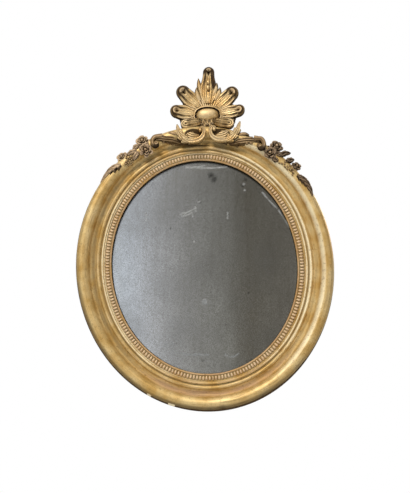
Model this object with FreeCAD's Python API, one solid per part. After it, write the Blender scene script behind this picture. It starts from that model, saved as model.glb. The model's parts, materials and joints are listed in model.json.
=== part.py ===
import FreeCAD, Part
import math
import os

# Oval wall mirror in a gilded frame, in millimetres.
# X is to the viewer's right, Y runs from the viewer to the wall, Z is up.
# The origin is the centre of the oval on the wall plane, so every depth is measured forwards from the wall.

Vector = FreeCAD.Vector
forwards = Vector(0, -1, 0)

# Oval opening
sight_half_width = 197.0
sight_half_height = 229.0
oval_lean = 7.0  # degrees: the old oval is out of true, and the top of its long axis leans left

# Layers of the frame, from the wall forwards
board_thick = 8.0
back_layer_thick = 16.0

# Moulding profile: widths, from the sight edge outwards
lip_width = 4.0
bead_band = 12.0
flat_width = 2.5
inner_ridge_width = 6.0
groove_width = 3.0
outer_ridge_width = 7.0
cove_width = 11.5
torus_width = 28.0
quirk_width = 1.0
front_cant = 1.0
back_cant = 2.0

# Moulding profile: heights above the back of the front layer
lip_edge_height = 3.5
lip_height = 5.0
bead_floor_height = 4.0
flat_height = 7.5
inner_ridge_height = 10.5
groove_height = 8.0
outer_ridge_height = 12.0
cove_edge_height = 9.5
cove_height = 8.0
torus_foot_height = 12.0
torus_height = 26.0
torus_edge_height = 13.0
quirk_height = 9.0

# Beading on the sight edge
bead_length = 9.5
bead_width = 5.4
bead_height = 3.2
bead_pitch = 6.6

# Glazing
rebate_width = 8.0
glass_overlap = 6.0
glass_thick = 3.0
silver_thick = 0.2
paper_thick = 0.4
paper_margin = 1.0
block_count = 12
block_length = 24.0
block_leg = 9.0
block_height = 8.0
block_gap = 0.5

# Back boards
board_overlap = 20.0
board_bevel = 3.0
plank_half_width = 82.0
plank_gap = 0.6
nail_count = 16
nail_inset = 5.0
nail_length = 19.0
nail_radius = 1.0
nail_head_radius = 2.4
nail_head_thick = 1.2

# Pegs between the two layers
peg_count = 8
peg_radius = 4.0
peg_bite = 9.0

# Crest: its batten, ground and screws
crest_station = 9.5
crest_span = 19.0
crest_rise = 16.0
batten_half_width = 20.0
batten_top_half_width = 11.0
batten_thick = 12.0
batten_reach = 84.0
batten_foot_gap = 2.0
ground_radius = 56.0
ground_thick = 12.0
ground_drop = 11.0
screw_length = 18.0
screw_radius = 1.8
screw_head_radius = 3.6
screw_slot = 0.9

# Crest: boss and fronds
boss_half_width = 23.5
boss_half_height = 17.0
boss_depth = 17.0
frond_root = 26.0
frond_lift = 0.6
frond_crown = 8.0
frond_curl = 8.5
frond_lean = 7.0
wire_radius = 1.2
wire_length = 34.0
wire_depth = 3.4

# Crest: scrolls and leaves that stand in front of the moulding
scroll_lift = 1.0
scroll_half_width = 5.5
scroll_rise = 7.0
roll_radius = 5.0
leaf_rise = 6.0
seat_sink = 16.0
volute_station = 25.9
volute_offset = 57.0
volute_radius = 9.5
volute_depth = 24.0

# Garlands: stations are degrees from the crest, offsets are from the sight edge
garland_start = 24.0
garland_end = 60.0
rose_station = 31.0
rose_front_offset = 51.5
rose_upper_offset = 75.5
rose_radius = 13.0
rose_height = 12.0
flower_station = 43.0
flower_offset = 73.0
flower_radius = 9.5
flower_height = 9.0
berry_station = 39.2
berry_offset = 60.0
berry_radius = 3.1
berry_gap = 0.4
spray_station = 35.2
trail_start = 45.5
trail_end = 56.0
trail_half_width = 7.0

# Hanging ring
hanger_half_width = 9.0
hanger_height = 33.0
hanger_thick = 2.5
hanger_foot_gap = 8.0
knuckle_radius = 3.0
knuckle_gap = 0.3
pin_radius = 1.5
pin_clearance = 0.05
barrel_half_width = 4.0
barrel_side_gap = 0.2
eye_radius = 11.0
ring_width = 4.5
ring_thick = 3.4
ring_chamfer = 0.6

# Places across the profile, measured outwards from the sight edge
bead_start = lip_width
bead_end = bead_start + bead_band
ridge_start = bead_end + flat_width
groove_start = ridge_start + inner_ridge_width
groove_end = groove_start + groove_width
cove_start = groove_end + outer_ridge_width
torus_start = cove_start + cove_width
torus_end = torus_start + torus_width
torus_middle = (torus_start + torus_end) / 2
quirk_end = torus_end + quirk_width
front_edge = quirk_end + front_cant
back_edge = front_edge + back_cant

# Depths of the layers, measured forwards from the wall
layer_depth = board_thick
glass_depth = layer_depth + back_layer_thick
torus_depth = glass_depth + torus_height
silver_depth = glass_depth - glass_thick
paper_depth = silver_depth - silver_thick
block_depth = paper_depth - paper_thick
ground_depth = layer_depth + batten_thick
frond_depth = ground_depth + ground_thick
pin_depth = layer_depth - knuckle_radius - knuckle_gap


# Oval geometry

def lean(x, z):
    """Turns a point of the upright oval by the lean."""
    angle = math.radians(oval_lean)
    return x * math.cos(angle) - z * math.sin(angle), x * math.sin(angle) + z * math.cos(angle)


def oval_normal(station):
    """Outward direction at a station, in degrees from the top of the long axis, positive to the right."""
    angle = math.radians(station)
    x, z = lean(sight_half_height * math.sin(angle), sight_half_width * math.cos(angle))
    return Vector(x, 0, z).normalize()


def oval_point(station, offset, depth):
    """A point beside the sight edge: offset outwards from it, and depth forwards from the wall."""
    angle = math.radians(station)
    x, z = lean(sight_half_width * math.sin(angle), sight_half_height * math.cos(angle))
    return Vector(x, -depth, z) + oval_normal(station) * offset


def oval_curve(offset, depth):
    """An ellipse at that offset, and the station where its parameter is zero."""
    half_width = sight_half_width + offset
    half_height = sight_half_height + offset
    top_x, top_z = lean(0, half_height)
    side_x, side_z = lean(half_width, 0)
    top = Vector(top_x, -depth, top_z)
    side = Vector(side_x, -depth, side_z)
    centre = Vector(0, -depth, 0)
    if half_height >= half_width:
        return Part.Ellipse(top, side, centre), 0.0
    bottom = Vector(-top_x, -depth, -top_z)
    return Part.Ellipse(side, bottom, centre), 90.0


def oval_plate(offset, back, front):
    """An oval disc between two depths."""
    ellipse, _ = oval_curve(offset, back)
    face = Part.Face(Part.Wire([ellipse.toShape()]))
    return face.extrude(forwards * (front - back))


def section_wire(outline, station):
    """A closed section at a station. A step is a corner, or the middle and end of an arc."""
    start = oval_point(station, *outline[0])
    here = start
    edges = []
    for step in outline[1:]:
        if len(step) == 4:
            middle = oval_point(station, step[0], step[1])
            end = oval_point(station, step[2], step[3])
            edges.append(Part.Arc(here, middle, end).toShape())
        else:
            end = oval_point(station, *step)
            edges.append(Part.LineSegment(here, end).toShape())
        here = end
    edges.append(Part.LineSegment(here, start).toShape())
    return Part.Wire(edges)


def ring_segment(outline, first, last):
    """A stretch of the oval ring with that section, from one station to another."""
    ellipse, zero = oval_curve(0, 0)
    arc = Part.ArcOfEllipse(ellipse, math.radians(first - zero), math.radians(last - zero))
    path = Part.Wire([arc.toShape()])
    return path.makePipeShell([section_wire(outline, first)], True, True)


def even_stations(count, offset, start=0.0):
    """Stations spaced evenly along the oval at that offset."""
    ellipse, zero = oval_curve(offset, 0)
    length = ellipse.length()
    stations = []
    for index in range(count):
        parameter = ellipse.parameterAtDistance(length * (index + start) / count, 0)
        stations.append(math.degrees(parameter) + zero)
    return stations


def turned(shape, station, point):
    """Moves a shape made about the origin to a point, with its local Z turned to the outward direction."""
    normal = oval_normal(station)
    angle = math.degrees(math.atan2(normal.x, normal.z))
    return shape.transformed(FreeCAD.Placement(point, FreeCAD.Rotation(Vector(0, 1, 0), angle)).toMatrix())


# Helpers for solids

def trim(shape, *tools):
    """Cuts the tools away one after the other, and keeps the largest solid that is left."""
    for tool in tools:
        shape = max(shape.cut(tool).Solids, key=lambda solid: solid.Volume)
    return shape


def ellipsoid(half_x, half_y, half_z):
    """The front half of an ellipsoid, flat at the back."""
    half_ball = Part.makeSphere(1.0, Vector(0, 0, 0), forwards, 0, 90, 360)
    stretch = FreeCAD.Matrix()
    stretch.scale(Vector(half_x, half_y, half_z))
    return half_ball.transformGeometry(stretch).Solids[0]


def turned_pin(points, place):
    """A pin turned from a half outline of radius and distance, pointing forwards from its place."""
    corners = [Vector(radius, -distance, 0) for radius, distance in points]
    outline = Part.Face(Part.makePolygon(corners + [corners[0]]))
    pin = outline.revolve(Vector(0, 0, 0), Vector(0, 1, 0), 360)
    pin.translate(place)
    return pin.Solids[0]


def wood_screw(place):
    """A slotted countersunk screw, driven forwards with its head flush at its place."""
    head_depth = screw_head_radius - screw_radius
    shank_end = screw_length - 2 * screw_radius
    screw = turned_pin([(0, 0), (screw_head_radius, 0), (screw_radius, head_depth),
                        (screw_radius, shank_end), (0, screw_length)], place)
    slot = Part.makeBox(2 * screw_head_radius, screw_slot, screw_slot)
    slot.translate(place + Vector(-screw_head_radius, -screw_slot, -screw_slot / 2))
    return screw.cut(slot).Solids[0]


def lens(point, across, rise, sink):
    """A lens section: edges at plus and minus across, arched by rise in front and by sink behind."""
    front = Part.Arc(point - across, point + rise, point + across).toShape()
    back = Part.Arc(point + across, point + sink, point - across).toShape()
    return Part.Wire([front, back])


def along(values, share):
    """Reads a list of evenly spaced values at a share of its length."""
    place = share * (len(values) - 1)
    index = min(int(place), len(values) - 2)
    return values[index] + (values[index + 1] - values[index]) * (place - index)


def band(points, half_widths, rises, sinks, sections=13):
    """A leaf or scroll band that faces the viewer, along a smooth line through the points."""
    curve = Part.BSplineCurve()
    curve.interpolate(points)
    wires = []
    for index in range(sections):
        share = index / (sections - 1)
        parameter = curve.FirstParameter + share * (curve.LastParameter - curve.FirstParameter)
        across = curve.tangent(parameter)[0].cross(forwards).normalize() * along(half_widths, share)
        wires.append(lens(curve.value(parameter), across,
                          forwards * along(rises, share), forwards * -along(sinks, share)))
    return Part.makeLoft(wires, True, False)


# Frame

def front_outline():
    """Section of the front layer: sight lip, bead band, two ridges, cove, torus and quirk."""
    base = glass_depth
    inner_ridge_middle = (ridge_start + groove_start) / 2
    outer_ridge_middle = (groove_end + cove_start) / 2
    cove_middle = (cove_start + torus_start) / 2
    return [(0, base),
            (0, base + lip_edge_height),
            (bead_start, base + lip_height),
            (bead_start, base + bead_floor_height),
            (bead_end, base + bead_floor_height),
            (bead_end, base + flat_height),
            (ridge_start, base + flat_height),
            (inner_ridge_middle, base + inner_ridge_height, groove_start, base + groove_height),
            (groove_end, base + groove_height),
            (outer_ridge_middle, base + outer_ridge_height, cove_start, base + cove_edge_height),
            (cove_middle, base + cove_height, torus_start, base + torus_foot_height),
            (torus_middle, base + torus_height, torus_end, base + torus_edge_height),
            (torus_end, base + quirk_height),
            (quirk_end, base + quirk_height),
            (front_edge, base)]


def back_outline():
    """Section of the back layer, which leaves the rebate open for the glass."""
    return [(rebate_width, layer_depth),
            (back_edge, layer_depth),
            (front_edge, glass_depth),
            (rebate_width, glass_depth)]


def seat_outline():
    """The outer part of the front section, from the outer ridge outwards, on which the ornament sits."""
    return [(groove_end, glass_depth)] + front_outline()[-7:]


def seat(side, first, last):
    """A stretch of that outer part on one side of the crest, used to trim the ornament to it."""
    ends = sorted((crest_station + side * first, crest_station + side * last))
    return ring_segment(seat_outline(), *ends)


def peg(station):
    """A round peg from the back of the frame into the thickest part of the moulding."""
    place = oval_point(station, torus_middle, layer_depth)
    return Part.makeCylinder(peg_radius, back_layer_thick + peg_bite, place, forwards)


def board_nail(station):
    """A nail through the back boards into the back layer, flush with the boards."""
    place = oval_point(station, rebate_width + nail_inset, 0)
    return turned_pin([(0, 0), (nail_head_radius, 0), (nail_head_radius, nail_head_thick),
                       (nail_radius, nail_head_thick), (nail_radius, nail_length - 2 * nail_radius),
                       (0, nail_length)], place)


def bead():
    """One long bead of the sight edge, flat at the back, with its length along Z."""
    return ellipsoid(bead_width / 2, bead_height, bead_length / 2)


def glazing_block(station):
    """A wedge glued in the corner of the rebate, which keeps the glass forwards."""
    half = block_length / 2
    corners = [Vector(-half, 0, 0), Vector(-half, block_height, 0), Vector(-half, 0, -block_leg)]
    wedge = Part.Face(Part.makePolygon(corners + [corners[0]])).extrude(Vector(block_length, 0, 0))
    return turned(wedge, station, oval_point(station, rebate_width - block_gap, block_depth))


def back_planks():
    """The oval back, bevelled at its rim and sawn into three upright planks."""
    oval = oval_plate(board_overlap, 0, board_thick)
    rim = [edge for edge in oval.Edges if edge.Closed and abs(edge.CenterOfMass.y) < board_bevel / 2]
    oval = oval.makeChamfer(board_bevel, rim)
    reach = sight_half_width + sight_half_height + 2 * board_overlap
    seam = plank_half_width + plank_gap / 2
    planks = []
    for low, high in ((-reach, -seam), (-seam + plank_gap, seam - plank_gap), (seam, reach)):
        strip = Part.makeBox(high - low, board_thick, 2 * reach, Vector(low, -board_thick, -reach))
        planks.append(oval.common(strip).Solids[0])
    return planks


# Crest

crest_x = oval_point(crest_station, torus_middle, 0).x
frame_top = oval_point(crest_station, back_edge, 0).z
boss_z = frame_top + crest_rise
batten_foot = oval_point(crest_station, board_overlap, 0).z + batten_foot_gap


def crest_point(x, z, depth):
    """A point beside the middle of the boss: x to the right, z up, and depth forwards from the wall."""
    return Vector(crest_x + x, -depth, boss_z + z)


def on_side(shape, side):
    """A piece made for the right of the crest, mirrored if it belongs on the left."""
    if side > 0:
        return shape
    return shape.mirror(Vector(crest_x, 0, 0), Vector(1, 0, 0))


def crest_batten():
    """A tapered batten let into the back of the frame, which carries the crest and the hanging ring."""
    top = boss_z + batten_reach
    corners = [Vector(crest_x - batten_half_width, -layer_depth, batten_foot),
               Vector(crest_x + batten_half_width, -layer_depth, batten_foot),
               Vector(crest_x + batten_half_width, -layer_depth, boss_z),
               Vector(crest_x + batten_top_half_width, -layer_depth, top),
               Vector(crest_x - batten_top_half_width, -layer_depth, top),
               Vector(crest_x - batten_half_width, -layer_depth, boss_z)]
    return Part.Face(Part.makePolygon(corners + [corners[0]])).extrude(forwards * batten_thick)


def crest_ground():
    """The rounded ground behind the fronds, flat where it stands above the frame."""
    dip = -math.asin(ground_drop / ground_radius)
    start = crest_point(ground_radius * math.cos(dip), -ground_drop, ground_depth)
    top = crest_point(0, ground_radius, ground_depth)
    end = crest_point(-ground_radius * math.cos(dip), -ground_drop, ground_depth)
    edges = [Part.Arc(start, top, end).toShape(), Part.LineSegment(end, start).toShape()]
    return Part.Face(Part.Wire(edges)).extrude(forwards * ground_thick)


def frond(angle, reach, half_widths):
    """A frond that runs out from the boss at an angle from upright, and curls forwards at its tip."""
    turn = math.radians(angle)
    outwards = Vector(math.sin(turn), 0, math.cos(turn))
    across = Vector(math.cos(turn), 0, -math.sin(turn))
    start = reach - frond_curl
    line = []
    for share in (0.0, 0.3, 0.6, 0.85):
        distance = frond_root + share * (start - frond_root)
        line.append((distance, frond_lift + frond_lean * share ** 2))
    for curl in (20, 60, 105, 150, 200):
        bend = math.radians(curl)
        line.append((start + frond_curl * math.sin(bend),
                     frond_lift + frond_lean + frond_curl * (1 - math.cos(bend))))
    crowns = [frond_crown * share for share in (1.0, 1.0, 0.8, 0.6, 0.5, 0.45, 0.4, 0.35, 0.3)]
    wires = []
    for index, (distance, depth) in enumerate(line):
        before = line[max(index - 1, 0)]
        after = line[min(index + 1, len(line) - 1)]
        slope = math.atan2(after[1] - before[1], after[0] - before[0])
        facing = forwards * math.cos(slope) - outwards * math.sin(slope)
        point = crest_point(0, 0, frond_depth + depth) + outwards * distance
        wires.append(lens(point, across * half_widths[index], facing * crowns[index], facing * -frond_lift))
    return Part.makeLoft(wires, True, False)


def frond_wire(angle):
    """A straight iron wire in the root of a frond."""
    turn = math.radians(angle)
    outwards = Vector(math.sin(turn), 0, math.cos(turn))
    place = crest_point(0, 0, frond_depth + wire_depth) + outwards * frond_root
    return Part.makeCylinder(wire_radius, wire_length, place, outwards)


# Each frond: its angle from upright, its reach from the boss, and its half widths from root to curled tip
frond_shapes = {
    "frond_centre": (0, 122.0, (12.0, 24.0, 22.0, 14.5, 13.0, 12.0, 9.5, 6.5, 3.5)),
    "frond_upper_left": (-45, 93.0, (7.6, 13.4, 17.6, 16.0, 13.0, 11.5, 9.0, 6.5, 3.5)),
    "frond_upper_right": (45, 93.0, (7.6, 13.4, 17.6, 16.0, 13.0, 11.5, 9.0, 6.5, 3.5)),
    "frond_lower_left": (-81.5, 83.0, (7.6, 12.0, 15.8, 14.5, 12.5, 11.0, 9.0, 6.5, 3.5)),
    "frond_lower_right": (81.5, 83.0, (7.6, 12.0, 15.8, 14.5, 12.5, 11.0, 9.0, 6.5, 3.5)),
}


def boss():
    """The smooth oval dome in the middle of the crest."""
    dome = ellipsoid(boss_half_width, boss_depth, boss_half_height)
    dome.translate(crest_point(0, 0, frond_depth))
    return dome


def c_scroll():
    """The right C-scroll under the boss, open at the top, with its inner end rolled up."""
    depth = torus_depth + scroll_lift
    line = [(9, -29), (6.9, -34), (7.2, -41), (11, -49), (19, -55.5), (30, -58), (42, -55.5), (51, -47),
            (55.5, -36), (56, -26)]
    points = [crest_point(x, z, depth) for x, z in line]
    shares = (0.7, 0.85, 0.95, 1.0, 1.0, 1.0, 1.0, 0.9, 0.75, 0.5)
    rises = [scroll_rise, scroll_rise, scroll_rise, scroll_rise * 0.7]
    scroll = band(points, [scroll_half_width * share for share in shares], rises,
                  [6.0, 8.0, seat_sink, seat_sink, 10.0, 6.0])
    roll = ellipsoid(roll_radius, roll_radius + scroll_rise, roll_radius)
    roll.translate(points[0] + Vector(roll_radius / 2, roll_radius, -roll_radius / 2))
    return scroll.fuse(roll).Solids[0]


def shell_lobe():
    """The right fluted lobe, which droops from the boss towards the scroll."""
    depth = torus_depth - 2.0
    points = [crest_point(x, z, depth) for x, z in ((8, -19), (22, -16.5), (36, -16.5), (48, -20), (54, -29))]
    rises = [leaf_rise * 0.6, leaf_rise, leaf_rise, leaf_rise * 0.7]
    return band(points, [5.0, 8.0, 10.5, 10.0, 5.0], rises, [6.0, 9.0, 9.0, 9.0], 9)


def acanthus_leaf():
    """The right acanthus leaf, which springs from the back of the scroll and flares upwards."""
    depth = torus_depth - 1.0
    line = [(30, -60), (46, -57.5), (58, -48), (65.5, -35), (71.5, -15)]
    points = [crest_point(x, z, depth) for x, z in line]
    rises = [leaf_rise * 0.6, leaf_rise, leaf_rise, leaf_rise * 0.4]
    return band(points, [4.0, 8.0, 10.0, 8.0, 1.6], rises, [8.0, seat_sink, seat_sink, 8.0, 3.0], 9)


def leaf_scroll(side):
    """A long leaf along the torus beside the crest, which ends in a rolled volute."""
    points = []
    for station, offset, sink in ((13.5, 52, 0), (17.5, 58, 0), (21.5, 63, 0), (25, 65, 1), (27.4, 62, 3)):
        points.append(oval_point(crest_station + side * station, offset, torus_depth - sink))
    rises = [leaf_rise * 0.6, leaf_rise, leaf_rise, leaf_rise * 0.6]
    leaf = band(points, [5.0, 9.0, 9.5, 7.5, 4.0], rises, [seat_sink, seat_sink, 8.0, 6.0], 9)
    volute = ellipsoid(volute_radius, volute_depth, volute_radius)
    station = crest_station + side * volute_station
    volute.translate(oval_point(station, volute_offset, torus_depth - seat_sink))
    return leaf.fuse(volute).Solids[0]


# Garlands

def seat_depth(offset):
    """Depth of the torus surface at an offset, from the circle through its foot, crown and edge."""
    foot = Vector(torus_start, torus_foot_height, 0)
    crown = Vector(torus_middle, torus_height, 0)
    edge = Vector(torus_end, torus_edge_height, 0)
    circle = Part.Arc(foot, crown, edge).toShape().Curve
    inside = min(max(offset, torus_start), torus_end) - circle.Center.x
    return glass_depth + circle.Center.y + math.sqrt(circle.Radius ** 2 - inside ** 2)


def lobed_wire(radius, height, petals, turn):
    """A flower outline of round petals, at a height in front of its foot."""
    edges = []
    step = 2 * math.pi / petals
    for index in range(petals):
        start = index * step + turn
        corners = []
        for share, reach in ((0.0, 0.8), (0.5, 1.0), (1.0, 0.8)):
            angle = start + share * step
            petal = radius * reach
            corners.append(Vector(petal * math.cos(angle), -height, petal * math.sin(angle)))
        edges.append(Part.Arc(*corners).toShape())
    return Part.Wire(edges)


def rosette(radius, height, petals=5):
    """A flower of three tiers of petals, about the origin and facing forwards."""
    tiers = []
    for tier, (low, high, foot, top) in enumerate(((0.85, 1.0, -0.6, 0.55), (0.74, 0.62, 0.55, 0.85),
                                                   (0.44, 0.3, 0.85, 1.0))):
        turn = tier * math.pi / petals
        tiers.append(Part.makeLoft([lobed_wire(radius * low, height * foot, petals, turn),
                                    lobed_wire(radius * high, height * top, petals, turn)], True, True))
    return tiers[0].fuse(tiers[1:]).removeSplitter().Solids[0]


def flower(side, station, offset, radius, height):
    """A rose or small flower, seated on the moulding beside the crest."""
    place = oval_point(crest_station + side * station, offset, seat_depth(offset))
    return turned(rosette(radius, height), crest_station + side * station, place)


def berries(side):
    """A cluster of round berries, each seated on the moulding."""
    spacing = 2 * berry_radius + berry_gap
    station = crest_station + side * berry_station
    normal = oval_normal(station)
    sideways = Vector(normal.z, 0, -normal.x)
    cluster = []
    for row, count in ((-1, 2), (0, 3), (1, 2)):
        for index in range(count):
            offset = berry_offset + row * spacing * math.sqrt(3) / 2
            shift = (index - (count - 1) / 2) * spacing
            place = oval_point(station, offset, seat_depth(offset) + berry_radius * 0.4) + sideways * shift
            cluster.append(Part.makeSphere(berry_radius, place))
    return cluster


def spray_leaf(side):
    """A small leaf between the roses and the berries."""
    station = crest_station + side * spray_station
    points = []
    for step, offset in ((-1.6, 60), (0, 66), (1.0, 73), (1.4, 79)):
        points.append(oval_point(station + side * step, offset, seat_depth(offset) - 1.0))
    return band(points, [2.5, 5.5, 6.0, 1.6], [leaf_rise * 0.5, leaf_rise * 0.8, leaf_rise * 0.4],
                [6.0, 8.0, 4.0], 9)


def trailing_leaf(side):
    """The long leaf that ends a garland, lying along the outer side of the torus."""
    points = []
    for share, offset in ((0.0, 63), (0.3, 68), (0.65, 71), (1.0, 69)):
        station = crest_station + side * (trail_start + share * (trail_end - trail_start))
        points.append(oval_point(station, offset, seat_depth(offset) - 1.0))
    return band(points, [trail_half_width * share for share in (0.4, 0.9, 1.0, 0.7, 0.2)],
                [leaf_rise * 0.5, leaf_rise * 0.8, leaf_rise * 0.4], [6.0, 8.0, 6.0], 11)


# Hanging ring

hanger_foot = batten_foot + hanger_foot_gap
hanger_top = hanger_foot + hanger_height
pin_z = hanger_top + knuckle_radius + knuckle_gap
eye_z = pin_z + knuckle_radius + knuckle_gap + ring_width + eye_radius


def sideways_rod(radius, low, high):
    """A round rod on the hinge axis of the ring, between two places across the crest's middle line."""
    return Part.makeCylinder(radius, high - low, Vector(crest_x + low, -pin_depth, pin_z), Vector(1, 0, 0))


def hanger_plate(screws):
    """The plate of the hanger, with a knuckle at each side of the ring's barrel."""
    plate = Part.makeBox(2 * hanger_half_width, hanger_thick, hanger_height,
                         Vector(crest_x - hanger_half_width, -layer_depth, hanger_foot))
    knuckle_start = barrel_half_width + barrel_side_gap
    pieces = []
    for low, high in ((-hanger_half_width, -knuckle_start), (knuckle_start, hanger_half_width)):
        pieces.append(sideways_rod(knuckle_radius, low, high))
        pieces.append(Part.makeBox(high - low, hanger_thick, pin_z - hanger_top,
                                   Vector(crest_x + low, -layer_depth, hanger_top)))
    bore = sideways_rod(pin_radius, -hanger_half_width, hanger_half_width)
    return plate.fuse(pieces).cut([bore] + screws).removeSplitter().Solids[0]


def hanger_ring():
    """The ring, with the barrel that turns on the pin."""
    start = Vector(crest_x, -pin_depth + ring_thick / 2, eye_z)
    disc = Part.makeCylinder(eye_radius + ring_width, ring_thick, start, forwards)
    disc = disc.makeChamfer(ring_chamfer, [edge for edge in disc.Edges if edge.Closed])
    neck = Part.makeBox(2 * barrel_half_width, ring_thick, eye_z - eye_radius - ring_width / 2 - pin_z,
                        Vector(crest_x - barrel_half_width, -pin_depth - ring_thick / 2, pin_z))
    barrel = sideways_rod(knuckle_radius, -barrel_half_width, barrel_half_width)
    eye = Part.makeCylinder(eye_radius, ring_thick, start, forwards)
    bore = sideways_rod(pin_radius + pin_clearance, -barrel_half_width, barrel_half_width)
    return disc.fuse([neck, barrel]).cut([eye, bore]).removeSplitter().Solids[0]


# Assembly

def frame_nodes():
    """Front moulding, back layer, pegs, beading, glazing and back boards."""
    nodes = {}
    pegs = [peg(station) for station in even_stations(peg_count, torus_middle, 0.5)]
    nails = [board_nail(station) for station in even_stations(nail_count, rebate_width + nail_inset, 0.5)]
    front_names = ("upper_right", "lower_right", "lower_left", "upper_left")
    for index, name in enumerate(front_names):
        segment = ring_segment(front_outline(), 90 * index, 90 * index + 90)
        nodes["front_moulding_" + name] = segment.cut(pegs).Solids[0]
    for index, name in enumerate(("top", "right", "bottom", "left")):
        segment = ring_segment(back_outline(), 90 * index - 45, 90 * index + 45)
        nodes["back_felloe_" + name] = segment.cut(pegs + nails).Solids[0]
    nodes["layer_pegs"] = Part.Compound(pegs)

    floor = glass_depth + bead_floor_height
    bead_line = (bead_start + bead_end) / 2
    perimeter = oval_curve(bead_line, 0)[0].length()
    stations = even_stations(round(perimeter / bead_pitch), bead_line)
    one_bead = bead()
    nodes["sight_beading"] = Part.Compound([turned(one_bead, station, oval_point(station, bead_line, floor))
                                            for station in stations])

    nodes["mirror_glass"] = oval_plate(glass_overlap, silver_depth, glass_depth)
    nodes["mirror_silvering"] = oval_plate(glass_overlap - paper_margin, paper_depth, silver_depth)
    nodes["backing_paper"] = oval_plate(glass_overlap - paper_margin, block_depth, paper_depth)
    nodes["glazing_blocks"] = Part.Compound([glazing_block(station)
                                             for station in even_stations(block_count, rebate_width, 0.5)])
    for name, plank in zip(("left", "middle", "right"), back_planks()):
        nodes["back_board_" + name] = plank.cut(nails).Solids[0]
    nodes["back_board_nails"] = Part.Compound(nails)
    return nodes


def crest_nodes(frame):
    """Batten, ground, boss, fronds, scrolls and leaves, trimmed to sit on the moulding and on each other."""
    nodes = {}
    moulding = [frame["front_moulding_upper_left"], frame["front_moulding_upper_right"]]
    batten = crest_batten()
    frame["back_felloe_top"] = frame["back_felloe_top"].cut(batten).Solids[0]

    batten_screws = []
    screw_x = (batten_half_width + hanger_half_width) / 2
    for x in (-screw_x, screw_x):
        for z in (hanger_foot, pin_z):
            batten_screws.append(wood_screw(Vector(crest_x + x, -layer_depth, z)))
    ground_screws = []
    for z in (ground_radius * 0.35, ground_radius * 0.8):
        ground_screws.append(wood_screw(crest_point(0, z, layer_depth)))
    frame["back_felloe_top"] = frame["back_felloe_top"].cut(batten_screws).Solids[0]
    moulding = [segment.cut(batten_screws).Solids[0] for segment in moulding]
    frame["front_moulding_upper_left"], frame["front_moulding_upper_right"] = moulding
    nodes["crest_batten"] = batten.cut(batten_screws + ground_screws).Solids[0]
    nodes["batten_screws"] = Part.Compound(batten_screws)
    nodes["ground_screws"] = Part.Compound(ground_screws)
    nodes["crest_ground"] = crest_ground().cut(ground_screws).Solids[0]

    middle = seat(1, -crest_span, crest_span)
    nodes["boss"] = trim(boss(), middle)
    wires = []
    for name, (angle, reach, half_widths) in frond_shapes.items():
        wire = frond_wire(angle)
        wires.append(wire)
        nodes[name] = trim(frond(angle, reach, half_widths), wire, nodes["boss"])
    nodes["frond_wires"] = Part.Compound(wires)

    for side, name in ((1, "right"), (-1, "left")):
        scroll = trim(on_side(c_scroll(), side), middle)
        lobe = trim(on_side(shell_lobe(), side), middle, nodes["boss"], scroll)
        leaf = trim(on_side(acanthus_leaf(), side), middle, scroll, lobe)
        nodes["c_scroll_" + name] = scroll
        nodes["shell_lobe_" + name] = lobe
        nodes["acanthus_leaf_" + name] = leaf
        nodes["leaf_scroll_" + name] = trim(leaf_scroll(side), seat(side, 0, garland_end), leaf)
    return nodes


def garland_nodes():
    """Roses, leaves, berries and small flowers on each side, trimmed to sit on the moulding."""
    nodes = {}
    for side, name in ((1, "right"), (-1, "left")):
        ground = seat(side, garland_start, garland_end)
        front_rose = trim(flower(side, rose_station, rose_front_offset, rose_radius, rose_height), ground)
        upper_rose = flower(side, rose_station, rose_upper_offset, rose_radius, rose_height)
        small_flower = flower(side, flower_station, flower_offset, flower_radius, flower_height)
        nodes["rose_front_" + name] = front_rose
        nodes["rose_upper_" + name] = trim(upper_rose, ground, front_rose)
        nodes["small_flower_" + name] = trim(small_flower, ground)
        nodes["spray_leaf_" + name] = trim(spray_leaf(side), ground)
        nodes["berry_cluster_" + name] = Part.Compound([trim(berry, ground) for berry in berries(side)])
        nodes["trailing_leaf_" + name] = trim(trailing_leaf(side), ground)
    return nodes


def hanger_nodes(frame, crest):
    """The hanging ring on its plate, which is screwed through the batten into the frame."""
    screws = []
    for share in (0.25, 0.75):
        z = hanger_foot + share * hanger_height
        screws.append(wood_screw(Vector(crest_x, hanger_thick - layer_depth, z)))
    crest["crest_batten"] = crest["crest_batten"].cut(screws).Solids[0]
    frame["back_felloe_top"] = frame["back_felloe_top"].cut(screws).Solids[0]
    return {
        "hanger_plate": hanger_plate(screws),
        "hanger_ring": hanger_ring(),
        "hanger_pin": sideways_rod(pin_radius, -hanger_half_width, hanger_half_width),
        "hanger_screws": Part.Compound(screws),
    }


def main():
    frame = frame_nodes()
    crest = crest_nodes(frame)
    garlands = garland_nodes()
    hanger = hanger_nodes(frame, crest)
    os.makedirs("parts", exist_ok=True)
    for nodes in (frame, crest, garlands, hanger):
        for name, shape in nodes.items():
            shape.exportStep(os.path.join("parts", name + ".step"))
            box = shape.BoundBox
            print(f"{name}: {len(shape.Solids)} solids, {shape.Volume:.0f} mm3, valid {shape.isValid()}, "
                  f"{box.XLength:.1f} x {box.YLength:.1f} x {box.ZLength:.1f}")


if __name__ == "__main__":
    main()
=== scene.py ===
import bmesh
import bpy
import json
import math
import random
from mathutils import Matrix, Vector, noise


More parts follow.
